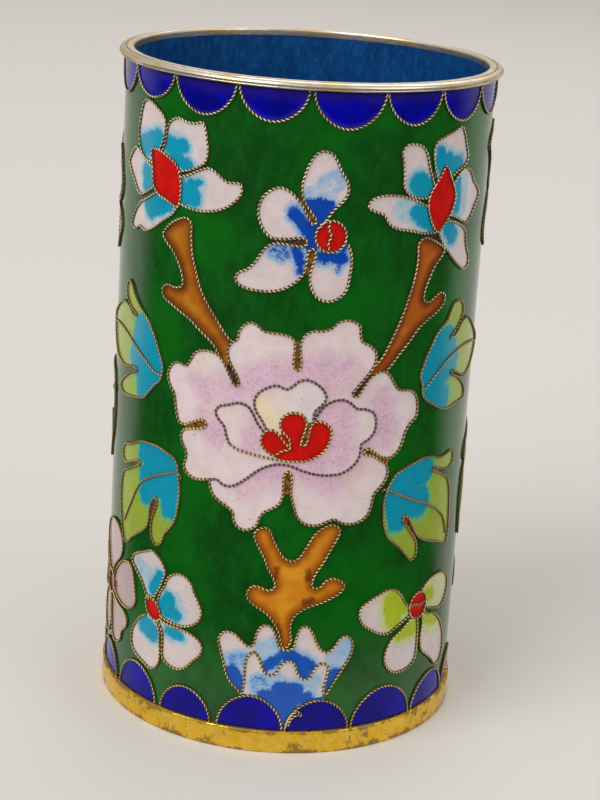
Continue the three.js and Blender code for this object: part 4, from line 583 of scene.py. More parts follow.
def turned(name, profile, material, closed=True):
    """A profile of (r, z) spun once round the axis."""
    count = len(profile)
    mesh = bpy.data.meshes.new(name)
    edges = [(i, (i + 1) % count) for i in range(count if closed else count - 1)]
    mesh.from_pydata([(r * MM, 0, z * MM) for r, z in profile], edges, [])
    item = new_object(name, mesh)
    pick(item)
    bpy.ops.object.mode_set(mode="EDIT")
    bpy.ops.mesh.select_all(action="SELECT")
    bpy.ops.mesh.spin(steps=TURN_STEPS, angle=2 * math.pi, center=(0, 0, 0), axis=(0, 0, 1))
    bpy.ops.mesh.select_all(action="SELECT")
    bpy.ops.mesh.remove_doubles(threshold=TOUCHING)
    bpy.ops.mesh.dissolve_degenerate(threshold=TOUCHING)
    bpy.ops.mesh.select_all(action="SELECT")
    bpy.ops.mesh.normals_make_consistent(inside=False)
    bpy.ops.object.mode_set(mode="OBJECT")
    bpy.ops.object.shade_smooth_by_angle(angle=VESSEL_CREASE)
    item.data.materials.append(material)
    return item


def rounded(corners, radius):
    """A closed profile with its corners rounded, each by its own third number or else by this radius."""
    STEPS = 5
    profile = []
    count = len(corners)
    for i, corner in enumerate(corners):
        here = Vector(corner[:2])
        size = corner[2] if len(corner) > 2 else radius
        if size == 0:
            profile.append(tuple(here))
            continue
        before = (Vector(corners[i - 1][:2]) - here).normalized() * size
        after = (Vector(corners[(i + 1) % count][:2]) - here).normalized() * size
        for k in range(STEPS + 1):
            t = k / STEPS
            profile.append(tuple(here + before * (1 - t) ** 2 + after * t ** 2))
    return profile


def strands(path, closed):
    """The two strands of a twisted wire along a path on the wall."""
    count = len(path)
    centre = on_wall(path, ROPE_R)
    if closed:
        along = np.roll(centre, -1, axis=0) - np.roll(centre, 1, axis=0)
    else:
        along = np.gradient(centre, axis=0)
    along /= np.linalg.norm(along, axis=1)[:, None]
    outward = np.stack([centre[:, 0], centre[:, 1], np.zeros(count)], axis=1)
    outward /= np.linalg.norm(outward, axis=1)[:, None]
    across = np.cross(along, outward)
    across /= np.linalg.norm(across, axis=1)[:, None]
    upward = np.cross(across, along)
    turns = count / STEPS_PER_TWIST
    if closed:
        turns = max(1, round(turns))
    angle = np.arange(count) / count * turns * 2 * math.pi
    result = []
    for phase in (0, math.pi):
        swing = np.cos(angle + phase)[:, None] * upward + np.sin(angle + phase)[:, None] * across
        result.append(centre + swing * STRAND_OFFSET * MM)
    return result


def rope(name, wires, materials):
    """Twisted wire along every path, as one mesh. A wire is (points, closed, material number)."""
    data = bpy.data.curves.new(name, "CURVE")
    data.dimensions = "3D"
    data.bevel_depth = STRAND_R * MM
    data.bevel_resolution = 1
    data.use_fill_caps = True
    for material in materials:
        data.materials.append(material)
    for points, closed, number in wires:
        path = smooth(points, closed, TWIST_PITCH / STEPS_PER_TWIST)
        for strand in strands(path, closed):
            spline = data.splines.new("POLY")
            spline.points.add(len(strand) - 1)
            places = np.ones((len(strand), 4))
            places[:, :3] = strand
            spline.points.foreach_set("co", places.ravel())
            spline.use_cyclic_u = closed
            spline.material_index = number
            spline.use_smooth = True
    item = new_object(name, data)
    pick(item)
    bpy.ops.object.convert(target="MESH")
    item = bpy.context.view_layer.objects.active
    item.name = name
    return item


def along_wires(wires):
    """The points along these wires, ready for a search."""
    points = np.vstack([smooth(wire[0], wire[1], WIRE_STEP) for wire in wires])
    tree = kdtree.KDTree(len(points))
    for number, (s, z) in enumerate(points):
        tree.insert((s, z, 0), number)
    tree.balance()
    return tree


def cell(outline, strokes, layer, fence):
    """One cell of enamel: places, triangles, and each point's stroke and distance to the wire."""
    CLEAR_OF_EDGE = OUTLINE_STEP * 0.8
    UNPAINTED, UNCAPPED = -9.0, 99.0
    SAME_POINT = 1e-5
    edge = smooth(outline, True, OUTLINE_STEP)
    ends = np.roll(edge, -1, axis=0)
    area = (edge[:, 0] * ends[:, 1] - ends[:, 0] * edge[:, 1]).sum()
    if area < 0:
        edge = edge[::-1]
        ends = np.roll(edge, -1, axis=0)
    low = edge.min(axis=0)
    high = edge.max(axis=0)
    row_height = CELL_GRID * math.sqrt(3) / 2
    grid = []
    for row, z in enumerate(np.arange(low[1], high[1], row_height)):
        shift = CELL_GRID / 2 * (row % 2)
        grid += [(s, z) for s in np.arange(low[0] + shift, high[0], CELL_GRID)]
    grid = np.array(grid)
    grid = grid[inside(grid, edge)]
    grid = grid[to_line(grid, edge, ends).min(axis=1) > CLEAR_OF_EDGE]
    points = [Vector(p) for p in np.vstack([edge, grid])]
    filled = geometry.delaunay_2d_cdt(points, [], [list(range(len(edge)))], 1, SAME_POINT)
    flat = np.array([tuple(p) for p in filled[0]])
    to_edge = np.array([fence.find((s, z, 0))[2] for s, z in flat])
    paint = np.full(len(flat), UNPAINTED)
    for start, end, half_width, *palest in strokes:
        distance = to_line(flat, np.array([start], float), np.array([end], float))[:, 0]
        paint = np.maximum(paint, np.minimum(half_width - distance, *palest or [UNCAPPED]))
    radius = CELL_R + LAYER * layer + MENISCUS * np.exp(-to_edge / MENISCUS_WIDTH)
    return on_wall(flat, radius), filled[2], paint, to_edge


def enamel(name, cells, materials, wires):
    """Cells of enamel as one mesh, drawn up the wires.

    A cell is (outline, strokes, layer, material number).
    """
    fence = along_wires(wires)
    places, faces, paint, to_edge, numbers = [], [], [], [], []
    for outline, strokes, layer, number in cells:
        start = sum(len(p) for p in places)
        part = cell(outline, strokes, layer, fence)
        places.append(part[0])
        faces += [tuple(start + v for v in face) for face in part[1]]
        paint.append(part[2])
        to_edge.append(part[3])
        numbers += [number] * len(part[1])
    mesh = bpy.data.meshes.new(name)
    mesh.from_pydata([tuple(p) for p in np.vstack(places)], [], faces)
    mesh.attributes.new("painted", "FLOAT", "POINT").data.foreach_set("value", np.concatenate(paint))
    mesh.attributes.new("to_edge", "FLOAT", "POINT").data.foreach_set("value", np.concatenate(to_edge))
    for material in materials:
        mesh.materials.append(material)
    mesh.polygons.foreach_set("material_index", numbers)
    item = new_object(name, mesh)
    pick(item)
    bpy.ops.object.modifier_add(type="SOLIDIFY")
    item.modifiers[-1].thickness = CELL_DEPTH * MM
    item.modifiers[-1].offset = -1
    bpy.ops.object.modifier_apply(modifier=item.modifiers[-1].name)
    bpy.ops.object.shade_smooth_by_angle(angle=CELL_CREASE)
    return item


# Finishes
def srgb(red, green, blue):
    """A colour as written, 0 to 255, for a shader."""
    def linear(value):
        value /= 255
        return value / 12.92 if value <= 0.04045 else ((value + 0.055) / 1.055) ** 2.4
    return (linear(red), linear(green), linear(blue), 1.0)


class Value:
    """A number socket that arithmetic adds Math nodes to."""

    def __init__(self, finish, socket):
        self.finish = finish
        self.socket = socket

    def maths(self, operation, first, second):
        return self.finish.value("ShaderNodeMath", {"operation": operation}, {0: first, 1: second})

    def size(self):
        return self.maths("ABSOLUTE", self, 0.0)

    def __add__(self, other):
        return self.maths("ADD", self, other)

    __radd__ = __add__

    def __sub__(self, other):
        return self.maths("SUBTRACT", self, other)

    def __rsub__(self, other):
        return self.maths("SUBTRACT", other, self)

    def __mul__(self, other):
        return self.maths("MULTIPLY", self, other)

    __rmul__ = __mul__

    def __truediv__(self, other):
        return self.maths("DIVIDE", self, other)


class Finish:
    """A material with one Principled shader."""

    def __init__(self, name, roughness=0.12, metallic=0.0):
        self.material = bpy.data.materials.new(name)
        self.material.use_nodes = True
        self.tree = self.material.node_tree
        self.tree.nodes.clear()
        self.shader = self.tree.nodes.new("ShaderNodeBsdfPrincipled")
        self.set("Roughness", roughness)
        self.set("Metallic", metallic)
        output = self.tree.nodes.new("ShaderNodeOutputMaterial")
        self.tree.links.new(self.shader.outputs[0], output.inputs["Surface"])
        self.coordinates = self.node("ShaderNodeTexCoord").outputs["Object"]

    def put(self, socket, given):
        if isinstance(given, Value):
            given = given.socket
        if isinstance(given, bpy.types.NodeSocket):
            self.tree.links.new(given, socket)
        else:
            socket.default_value = given

    def set(self, socket, given):
        self.put(self.shader.inputs[socket], given)

    def node(self, kind, settings=None, sockets=None):
        made = self.tree.nodes.new(kind)
        for key, setting in (settings or {}).items():
            setattr(made, key, setting)
        for key, given in (sockets or {}).items():
            self.put(made.inputs[key], given)
        return made

    def value(self, kind, settings=None, sockets=None, output=0):
        return Value(self, self.node(kind, settings, sockets).outputs[output])

    def attribute(self, name):
        return self.value("ShaderNodeAttribute", {"attribute_name": name}, output="Fac")

    def noise(self, size, detail=2.0, roughness=0.5, stretch=(1, 1, 1), offset=(0, 0, 0)):
        """Noise from 0 to 1 whose features are about this many millimetres across."""
        scale = [1 / (size * MM * part) for part in stretch]
        place = self.node("ShaderNodeMapping", None, {"Vector": self.coordinates, "Scale": scale,
                                                      "Location": offset}).outputs[0]
        sockets = {"Vector": place, "Scale": 1.0, "Detail": detail, "Roughness": roughness}
        return self.value("ShaderNodeTexNoise", None, sockets)

    def grains(self, size, output="Color"):
        """A cellular pattern of grains of this size in millimetres: a random level in each grain."""
        sockets = {"Vector": self.coordinates, "Scale": 1 / (size * MM)}
        made = self.node("ShaderNodeTexVoronoi", None, sockets).outputs[output]
        if output == "Color":
            return self.value("ShaderNodeSeparateColor", None, {"Color": made})
        return Value(self, made)

    def step(self, given, low, high):
        """0 below low and 1 above high, and smooth between."""
        settings = {"interpolation_type": "SMOOTHSTEP"}
        return self.value("ShaderNodeMapRange", settings, {"Value": given, "From Min": low, "From Max": high})

    def mix(self, factor, first, second):
        settings = {"data_type": "RGBA"}
        return self.node("ShaderNodeMix", settings, {0: factor, 6: first, 7: second}).outputs[2]

    def scaled(self, colour, factor):
        """The colour lighter or darker by this factor."""
        sockets = {0: colour, "Scale": factor}
        return self.node("ShaderNodeVectorMath", {"operation": "SCALE"}, sockets).outputs[0]

    def bump(self, height, depth):
        """Relief of this many millimetres where the height goes from 0 to 1."""
        sockets = {"Height": height, "Strength": 1.0, "Distance": depth * MM}
        self.set("Normal", self.node("ShaderNodeBump", None, sockets).outputs[0])

    def coated(self, colour, height, depth):
        """The material in this colour, with relief."""
        self.set("Base Color", colour)
        self.bump(height, depth)
        return self.material

    def radius(self):
        """Distance from the pot's axis in millimetres."""
        sockets = {0: self.coordinates, 1: (MM_PER_METRE, MM_PER_METRE, 0)}
        flat = self.node("ShaderNodeVectorMath", {"operation": "MULTIPLY"}, sockets)
        length = self.node("ShaderNodeVectorMath", {"operation": "LENGTH"}, {0: flat.outputs[0]})
        return Value(self, length.outputs["Value"])

    def height(self):
        """Height over the table in millimetres."""
        return self.value("ShaderNodeSeparateXYZ", None, {0: self.coordinates}, output="Z") * MM_PER_METRE


def glass(finish, colour):
    """Fired enamel over a colour: faint clouds, fine grain, pinholes and a wavy gloss."""
    cloud = finish.step(finish.noise(2.4, 3), 0.3, 0.75)
    shade = finish.scaled(colour, 1.0 - cloud * 0.10 + (finish.grains(0.16) - 0.5) * 0.08)
    pinhole = finish.step(finish.noise(0.55, 0), 0.81, 0.84)
    shade = finish.mix(pinhole * 0.4, shade, (0.05, 0.035, 0.02, 1))
    return finish.coated(shade, finish.noise(1.3, 2) - pinhole * 0.8, 0.012)


def painted(name, far, middle, near, blend=(-1.1, -0.1, 0.35), ragged=1.5, amount=0.9):
    """Enamel in one colour with brush strokes of another, ragged where they meet."""
    finish = Finish(name)
    stroke = finish.attribute("painted") + (finish.noise(1.5, 2, offset=(3, 1, 2)) - 0.5) * ragged
    stroke = stroke + (finish.noise(0.35, 1) - 0.5) * ragged * 0.7
    colour = finish.mix(finish.step(stroke, blend[0], blend[1]) * amount, far, middle)
    colour = finish.mix(finish.step(stroke, blend[1] - 0.15, blend[2]), colour, near)
    return glass(finish, colour)


def ground_finish():
    """Clouded green with lighter flecks and dark pits."""
    finish = Finish("green_ground", 0.11)
    cloud = finish.step(finish.noise(13, 3, 0.55), 0.36, 0.66)
    fleck = finish.step(finish.noise(1.7, 4, 0.65, stretch=(1, 1, 1.7), offset=(5, 5, 5)), 0.38, 0.74)
    colour = finish.mix(cloud, srgb(2, 64, 8), srgb(0, 90, 6))
    colour = finish.mix(fleck * 0.4, colour, srgb(14, 100, 24))
    pit = finish.step(finish.noise(0.7, 0, offset=(9, 4, 2)), 0.82, 0.85)
    colour = finish.mix(pit * 0.5, colour, srgb(20, 36, 14))
    return finish.coated(colour, finish.noise(2.2, 2) + finish.noise(0.5, 1) * 0.18 - pit * 0.5, 0.014)


def border_finish(name, deep, pale, gloss):
    """Clouded blue, greyer and then darkened by painted shade under the rim, and darkened by painted shade
    along the foot.
    """
    finish = Finish(name, 0.1)
    finish.set("Specular IOR Level", gloss)
    cloud = finish.step(finish.noise(5, 2), 0.36, 0.66)
    colour = finish.mix(cloud, deep, pale)
    top = finish.step(finish.height() + finish.noise(3, 2) * 2.5, 117.2, 119.6)
    colour = finish.mix(top * 0.5, colour, srgb(46, 34, 108))
    # Painted shade in a dark line where the enamel meets the rim and the foot
    joint_shade = finish.step(finish.height(), 118.1, 118.5) + (1 - finish.step(finish.height(), 4.3, 4.7))
    colour = finish.mix(joint_shade * 0.75, colour, srgb(22, 8, 40))
    return glass(finish, colour)


def lining_finish():
    """Dull blue with lighter flecks that run upwards."""
    finish = Finish("blue_lining", 0.42)
    finish.set("Specular IOR Level", 0.2)
    cloud = finish.step(finish.noise(2.2, 4, 0.65, stretch=(1, 1, 2.2)), 0.35, 0.7)
    fleck = finish.step(finish.noise(0.9, 3, 0.6, stretch=(1, 1, 2.0), offset=(4, 4, 4)), 0.48, 0.72)
    colour = finish.mix(cloud, srgb(0, 58, 116), srgb(4, 76, 136))
    colour = finish.mix(fleck * 0.4, colour, srgb(30, 108, 158))
    return finish.coated(colour, finish.noise(0.8, 3), 0.03)


def peony_finish():
    """Pinkish white, with mauve grains that thicken towards the petal's root."""
    finish = Finish("peony_petal")
    root = finish.attribute("painted") + (finish.noise(2.6, 3) - 0.5) * 3.0
    blush = finish.step(root, -3.0, 0.8)
    colour = finish.mix(blush * 0.7, srgb(221, 204, 205), srgb(213, 170, 195))
    grain = finish.step(finish.grains(0.3), 0.6, 0.75)
    colour = finish.mix(grain * finish.step(root, -2.2, 0.8) * 0.3, colour, srgb(168, 122, 160))
    peach = finish.step(finish.noise(6.5, 1, offset=(1, 2, 8)), 0.54, 0.72)
    colour = finish.mix(peach * 0.4, colour, srgb(222, 202, 180))
    return glass(finish, colour)


def petal_finish(name, colour, tint):
    finish = Finish(name)
    cloud = finish.step(finish.noise(3.5, 2), 0.42, 0.72)
    return glass(finish, finish.mix(cloud * 0.6, colour, tint))


def heart_finish():
    finish = Finish("red_heart", 0.13)
    cloud = finish.step(finish.noise(1.6, 3), 0.35, 0.7)
    colour = finish.mix(cloud, srgb(188, 6, 2), srgb(208, 12, 6))
    edge = 1 - finish.step(finish.attribute("to_edge"), 0.25, 0.8)
    colour = finish.mix(edge * 0.35, colour, srgb(120, 10, 12))
    return glass(finish, colour)


def amber_finish(name, deep, body, pale):
    """Translucent amber: dark along the wire and in a few burnt patches."""
    finish = Finish(name, 0.11)
    depth = finish.attribute("to_edge") + (finish.noise(1.4, 2) - 0.5) * 0.9
    colour = finish.mix(finish.step(depth, 0.1, 1.9), deep, body)
    glow = finish.step(finish.noise(4.0, 2, offset=(3, 3, 3)), 0.40, 0.66)
    colour = finish.mix(glow * finish.step(depth, 0.9, 2.2) * 0.8, colour, pale)
    burnt = finish.step(finish.attribute("painted") + (finish.noise(0.8, 2) - 0.5) * 1.2, -0.2, 0.5)
    colour = finish.mix(burnt * 0.75, colour, srgb(96, 44, 10))
    return glass(finish, colour)


def wire_finish(name, low, high, hollow_tarnish_and_shade):
    """Gilt twisted wire: crowns yellower low on the pot and brightened as a painted highlight, hollows brown
    as tarnish and as painted shade, and stretches worn towards the hollows' brown.
    """
    finish = Finish(name, 0.3, 1.0)
    crown = finish.step(finish.radius(), HOLLOW_R, CROWN_R)
    worn = finish.step(finish.noise(3.5, 2), 0.35, 0.6)
    bright = finish.mix(finish.step(finish.height(), 20, 100), low, high)
    # Painted highlight on the crowns and painted shade in the hollows, over brown tarnish
    finish.set("Base Color", finish.mix(crown * (0.5 + worn * 0.5), hollow_tarnish_and_shade, bright))
    finish.set("Roughness", 0.45 - crown * 0.15)
    finish.set("Metallic", 0.4 - crown * 0.1)
    return finish.material


def solder_finish(name, dark, bright):
    finish = Finish(name, 0.34, 0.5)
    rough = finish.noise(0.7, 2)
    return finish.coated(finish.mix(finish.step(rough, 0.3, 0.7), dark, bright), rough, 0.03)


def rim_finish():
    """Gilding worn to a silvery gold, streaked round the rim."""
    finish = Finish("worn_rim", 0.24, 1.0)
    streak = finish.noise(0.28, 3, 0.6, stretch=(26, 26, 1))
    patch = finish.noise(7, 3, 0.6)
    colour = finish.mix(finish.step(patch, 0.45, 0.62), srgb(228, 217, 198), srgb(230, 206, 160))
    low = 1 - finish.step(finish.height(), 119.5, 119.8)
    brown = finish.step(streak + (patch - 0.5) * 0.35, 0.50, 0.66)
    colour = finish.mix(brown * (0.2 + low * 0.4), colour, srgb(126, 98, 58))
    groove = 1 - finish.step((finish.radius() - GROOVE_R).size(), 0.06, 0.2)
    colour = finish.mix(groove * finish.step(finish.height(), 119.4, 119.6) * 0.8, colour, srgb(74, 60, 40))
    finish.set("Roughness", 0.3 + brown * 0.15)
    return finish.coated(colour, streak * 0.3 + finish.noise(1.0, 3), 0.045)


def foot_finish():
    """Yellow gilding with brown tarnish in patches, along both edges, in pits and in upright scratches."""
    finish = Finish("tarnished_foot", 0.28, 1.0)
    patch = finish.noise(4.5, 4, 0.65)
    fine = finish.noise(0.9, 3, 0.6)
    height = finish.height()
    edges = finish.step(height, 3.1, 4.2) + (1 - finish.step(height, 0.0, 1.2))
    tarnish = finish.step(patch + (fine - 0.5) * 0.6 + edges * 0.17, 0.53, 0.68)
    colour = finish.mix(finish.step(fine, 0.3, 0.7), srgb(238, 190, 46), srgb(248, 210, 88))
    colour = finish.mix(tarnish * 0.8, colour, srgb(124, 88, 36))
    pit = 1 - finish.step(finish.grains(0.9, "Distance"), 0.10, 0.20)
    pit = pit * finish.step(fine, 0.5, 0.6)
    scratch = finish.step(finish.noise(0.5, 2, offset=(2, 6, 0), stretch=(1, 1, 4)), 0.66, 0.72)
    pit = pit + scratch * finish.step(patch, 0.4, 0.5) * 0.6
    colour = finish.mix(pit * 0.85, colour, srgb(58, 38, 16))
    grey = finish.step(finish.noise(5.5, 1, offset=(7, 1, 5)), 0.70, 0.74)
    colour = finish.mix(grey * 0.8, colour, srgb(140, 140, 134))
    finish.set("Roughness", 0.22 + tarnish * 0.3)
    finish.set("Metallic", 1 - tarnish * 0.35)
    return finish.coated(colour, fine * 0.6 - pit * 0.7, 0.03)


def copper_finish():
    finish = Finish("bare_copper", 0.42, 1.0)
    patch = finish.step(finish.noise(6, 4, 0.6), 0.35, 0.7)
    return finish.coated(finish.mix(patch, srgb(158, 92, 58), srgb(96, 58, 40)), finish.noise(1.2, 3), 0.02)


PINK = srgb(212, 197, 196)
SKY = srgb(120, 168, 210)
TURQUOISE = srgb(4, 146, 178)
COBALT = srgb(0, 66, 166)
green = ground_finish()
upper_blue = border_finish("upper_border_blue", srgb(0, 0, 122), srgb(0, 0, 156), 0.25)
lower_blue = border_finish("lower_border_blue", srgb(12, 4, 120), srgb(14, 6, 152), 0.16)
lining_blue = lining_finish()
heart_red = heart_finish()
heart_brown = petal_finish("brown_heart", srgb(120, 40, 34), srgb(88, 30, 28))
turquoise_petal = painted("turquoise_petal", PINK, srgb(128, 188, 206), TURQUOISE,
                          (-1.4, -0.3, 0.3), 1.3, 0.75)
cobalt_petal = painted("cobalt_petal", PINK, SKY, COBALT, (-1.3, -0.2, 0.3), 1.4, 0.8)
lime_petal = painted("lime_petal", PINK, srgb(192, 204, 130), srgb(168, 190, 40),
                     (-1.7, -0.1, 0.6), 1.4, 0.85)
side_petal = painted("side_petal", srgb(190, 167, 164), srgb(184, 148, 148), srgb(146, 76, 62),
                     (-1.8, -0.2, 0.4), 1.5, 0.7)
rock_glaze = painted("rock_glaze", PINK, srgb(132, 180, 216), srgb(0, 80, 176), (-1.5, -0.2, 0.4), 1.2, 0.9)
leaf_glaze = painted("leaf_glaze", srgb(148, 168, 56), srgb(96, 178, 110), srgb(6, 144, 172),
                     (-1.3, 0.0, 0.5), 1.7, 0.85)
peony_petal = peony_finish()
peony_cream = painted("peony_cream", srgb(219, 206, 206), srgb(222, 206, 192), srgb(228, 208, 178),
                      (-1.6, -0.2, 0.8), 1.2)
trunk_amber = amber_finish("trunk_amber", srgb(150, 78, 8), srgb(202, 124, 20), srgb(216, 150, 38))
left_amber = amber_finish("left_branch_amber", srgb(112, 58, 8), srgb(164, 94, 14), srgb(190, 124, 28))
right_amber = amber_finish("right_branch_amber", srgb(116, 52, 12), srgb(170, 88, 24), srgb(186, 108, 30))
gilt = wire_finish("gilt_wire", srgb(255, 228, 140), srgb(255, 244, 196), srgb(92, 66, 28))
yellow_gilt = wire_finish("yellow_gilt_wire", srgb(255, 226, 134), srgb(255, 234, 152), srgb(122, 74, 22))
olive_wire = wire_finish("olive_wire", srgb(226, 194, 124), srgb(212, 194, 140), srgb(98, 76, 40))
dark_wire = wire_finish("dark_wire", srgb(172, 138, 130), srgb(172, 138, 130), srgb(92, 62, 66))
gilt_solder = solder_finish("gilt_solder", srgb(96, 60, 26), srgb(172, 122, 58))
brown_solder = solder_finish("brown_solder", srgb(66, 40, 44), srgb(104, 74, 70))
rim_metal = rim_finish()
foot_metal = foot_finish()
copper = copper_finish()

# The vessel
RIM_PROFILE = [
    (RIM_INNER_R, RIM_FOOT_Z, 0.0), (RIM_INNER_R, 119.75, 0.22), (31.5, HEIGHT, 0.16),
    (32.52, HEIGHT - 0.03, 0.07), (GROOVE_R, HEIGHT - 0.2, 0.06), (32.84, HEIGHT - 0.05, 0.08),
    (RIM_OUTER_R, 119.74, 0.62), (RIM_OUTER_R, 119.15, 0.2), (33.64, 119.02, 0.06), (33.74, 118.86, 0.07),
    (33.6, RIM_FOOT_Z, 0.08),
]
finished(turned("mouth_rim_turned", rounded(RIM_PROFILE, 0.1), rim_metal), "rim_metal", "mouth_rim")

FOOT_PROFILE = [
    (FOOT_INNER_R, 0.0, 0.3), (FOOT_R, 0.0, 0.35), (FOOT_R + 0.06, 0.45, 0.15), (FOOT_R, 0.75, 0.2),
    (FOOT_R, FOOT_HEIGHT, 0.4), (COPPER_OUTER_R, FOOT_HEIGHT, 0.0), (COPPER_OUTER_R, BASE_Z, 0.0),
    (FOOT_INNER_R, BASE_Z, 0.0),
]
finished(turned("foot_ring_turned", rounded(FOOT_PROFILE, 0.3), foot_metal), "foot_metal", "foot_ring")

COPPER_PROFILE = [
    (COPPER_INNER_R, BASE_Z), (COPPER_OUTER_R, BASE_Z), (COPPER_OUTER_R, RIM_FOOT_Z + TUCK),
    (COPPER_INNER_R, RIM_FOOT_Z + TUCK),
]
finished(turned("copper_wall", COPPER_PROFILE, copper), "copper", "copper_body")

PLATE_PROFILE = [
    (0, BASE_Z + BASE_RECESS), (COPPER_INNER_R, BASE_Z + BASE_RECESS),
    (COPPER_INNER_R, BASE_Z + BASE_THICKNESS), (0, BASE_Z + BASE_THICKNESS),
]
finished(turned("copper_floor", PLATE_PROFILE, copper, closed=False), "copper", "base_plate")

FLOOR_Z = BASE_Z + BASE_THICKNESS + LINING_THICKNESS
LINING_PROFILE = [(0, BASE_Z + BASE_THICKNESS), (COPPER_INNER_R, BASE_Z + BASE_THICKNESS)]
LINING_PROFILE += [(COPPER_INNER_R, RIM_FOOT_Z), (LINING_R, RIM_FOOT_Z)]
LINING_PROFILE += [
    (LINING_R - LINING_FILLET * (1 - math.cos(a)), FLOOR_Z + LINING_FILLET * (1 - math.sin(a)))
    for a in np.linspace(0, math.pi / 2, FILLET_STEPS)
]
LINING_PROFILE += [(LINING_R * 0.5, FLOOR_Z), (0, FLOOR_Z)]
finished(turned("lining", LINING_PROFILE, lining_blue, closed=False), "lining_enamel", "lining_enamel")

UNDER_PROFILE = [
    (0, BASE_Z - UNDER_THICKNESS), (FOOT_INNER_R - UNDER_EDGE_WIDTH, BASE_Z - UNDER_THICKNESS),
    (FOOT_INNER_R, BASE_Z - UNDER_EDGE_THICKNESS), (FOOT_INNER_R, BASE_Z), (0, BASE_Z),
]
finished(turned("underside_enamel", UNDER_PROFILE, lining_blue, closed=False), "lining_enamel", "base_enamel")

GROUND_PROFILE = [(COPPER_OUTER_R, FOOT_HEIGHT - TUCK), (GROUND_R, FOOT_HEIGHT - TUCK)]
GROUND_PROFILE += [(GROUND_R, z) for z in WALL_ROWS]
GROUND_PROFILE += [(GROUND_R, RIM_FOOT_Z + TUCK), (COPPER_OUTER_R, RIM_FOOT_Z + TUCK)]
finished(turned("green_wall", GROUND_PROFILE, green), "ground_enamel", "ground_enamel")


# Scalloped borders
def scallop(left, right, edge_z, depth):
    """A round-bottomed arc between two points of the edge, up where depth is positive."""
    POINTS = 15
    middle = (left + right) / 2
    half = (right - left) / 2
    points = []
    for k in range(POINTS):
        angle = math.pi * k / (POINTS - 1)
        across = -math.copysign(abs(math.cos(angle)) ** (2 / SCALLOP_POWER), math.cos(angle))
        points.append((middle + half * across, edge_z + depth * math.sin(angle) ** (2 / SCALLOP_POWER)))
    return points


def hand_bent(number):
    """A small change from one scallop to the next, from -1 to 1."""
    return math.sin(number * 12.9898) * 0.6 + math.sin(number * 4.37) * 0.4


def arcs_of(measured, edge_z):
    """A border's scallops: the measured ones, then nearly even ones round the back."""
    STRAY_S, STRAY_Z = 0.15, 0.3
    start = measured[-1][1]
    spare = SCALLOPS - len(measured)
    pitch = (2 * HALF_TURN + measured[0][0] - start) / spare
    even_z = sum(far for left, right, far in measured) / len(measured)
    gap = measured[1][0] - measured[0][1]
    arcs = list(measured)
    for k in range(spare):
        left = start + pitch * k + gap / 2 + STRAY_S * hand_bent(k)
        right = start + pitch * (k + 1) - gap / 2 + STRAY_S * hand_bent(k + 20)
        arcs.append((left, right, even_z + STRAY_Z * hand_bent(k + 60)))
    return [scallop(left, right, edge_z, far - edge_z) for left, right, far in arcs]


upper_arcs = arcs_of(UPPER_SCALLOPS, RIM_FOOT_Z + TUCK)
lower_arcs = arcs_of(LOWER_SCALLOPS, FOOT_HEIGHT - TUCK)
hooks = [(hook, False, 0) for hook in SCALLOP_HOOKS]
borders = (("upper", upper_arcs, upper_blue, []), ("lower", lower_arcs, lower_blue, hooks))
for side, arcs, blue, extra in borders:
    wires = [(arc, False, 0) for arc in arcs] + extra
    finished(rope(side + "_scallop_wire", wires, [gilt]), "cell_wire", side + "_border_wire")
    cells = [(arc, [], 3, 0) for arc in arcs]
    glaze = enamel(side + "_scallop_enamel", cells, [blue], wires)
    finished(glaze, "border_enamel", side + "_border_enamel")


# The spray of flowers
def motif(name, slot, cells, enamels, wires, metals=(gilt,), sides=()):
    """One motif in front and its copies behind and at the sides: a piece of enamel and a piece of wire."""
    glaze = enamel(name + "_glaze", cells, enamels, wires)
    twisted = rope(name + "_rope", wires, metals)
    for where, along, lift in (("back_", HALF_TURN, 0.0), *sides):
        copied(where, glaze, slot, along, lift)
        copied(where, twisted, "cell_wire", along, lift)
    finished(glaze, slot, name + "_enamel")
    finished(twisted, "cell_wire", name + "_wire")


def blossom(name, heart, petals, strokes, petal_glaze, heart_glaze=heart_red, extra=(), fills=(), sides=()):
    """A blossom: a cell and an open wire for each petal, and a heart over their ends."""
    cells = [(petal, marks, 0, 0) for petal, marks in zip(petals, strokes)]
    cells += [(heart, [], 1, 1)] + [(fill, [], 1, number) for fill, number in fills]
    wires = [(heart, True, 0)] + [(petal, False, 0) for petal in petals] + list(extra)
    enamels = [petal_glaze, heart_glaze, brown_solder, gilt_solder]
    motif(name, "petal_enamel", cells, enamels, wires, (gilt, olive_wire), sides)


def leaf(name, outline, vein, strokes, slits, extra=(), sides=()):
    """A leaf: one cell in a closed wire with a vein, and solder in its narrow slits."""
    cells = [(outline, strokes, 0, 0)] + [(slit, [], 1, 1) for slit in slits]
    wires = [(outline, True, 0), (vein, False, 0)] + list(extra)
    motif(name, "leaf_enamel", cells, [leaf_glaze, gilt_solder], wires, (olive_wire,), sides)


blossom("prunus_left", PRUNUS_LEFT_HEART, PRUNUS_LEFT_PETALS, PRUNUS_LEFT_STROKES, turquoise_petal,
        fills=[(LEFT_BROWN_FILL, 2)])
blossom("prunus_right", PRUNUS_RIGHT_HEART, PRUNUS_RIGHT_PETALS, PRUNUS_RIGHT_STROKES, turquoise_petal,
        fills=[(RIGHT_BROWN_FILL, 2)])
blossom("small_blossom_left", SMALL_LEFT_HEART, SMALL_LEFT_PETALS, SMALL_LEFT_STROKES, turquoise_petal,
        fills=[(SMALL_LEFT_GILT_FILL, 3)], sides=SIDE_BLOSSOM_COPIES)
blossom("small_blossom_right", ellipse(*SMALL_RIGHT_HEART), SMALL_RIGHT_PETALS, SMALL_RIGHT_STROKES,
        lime_petal, extra=[(SMALL_RIGHT_DIVIDER, False, 1)])
blossom("side_blossom", ellipse(*SIDE_BLOSSOM_HEART), SIDE_BLOSSOM_PETALS, SIDE_STROKES,
        side_petal, heart_brown)

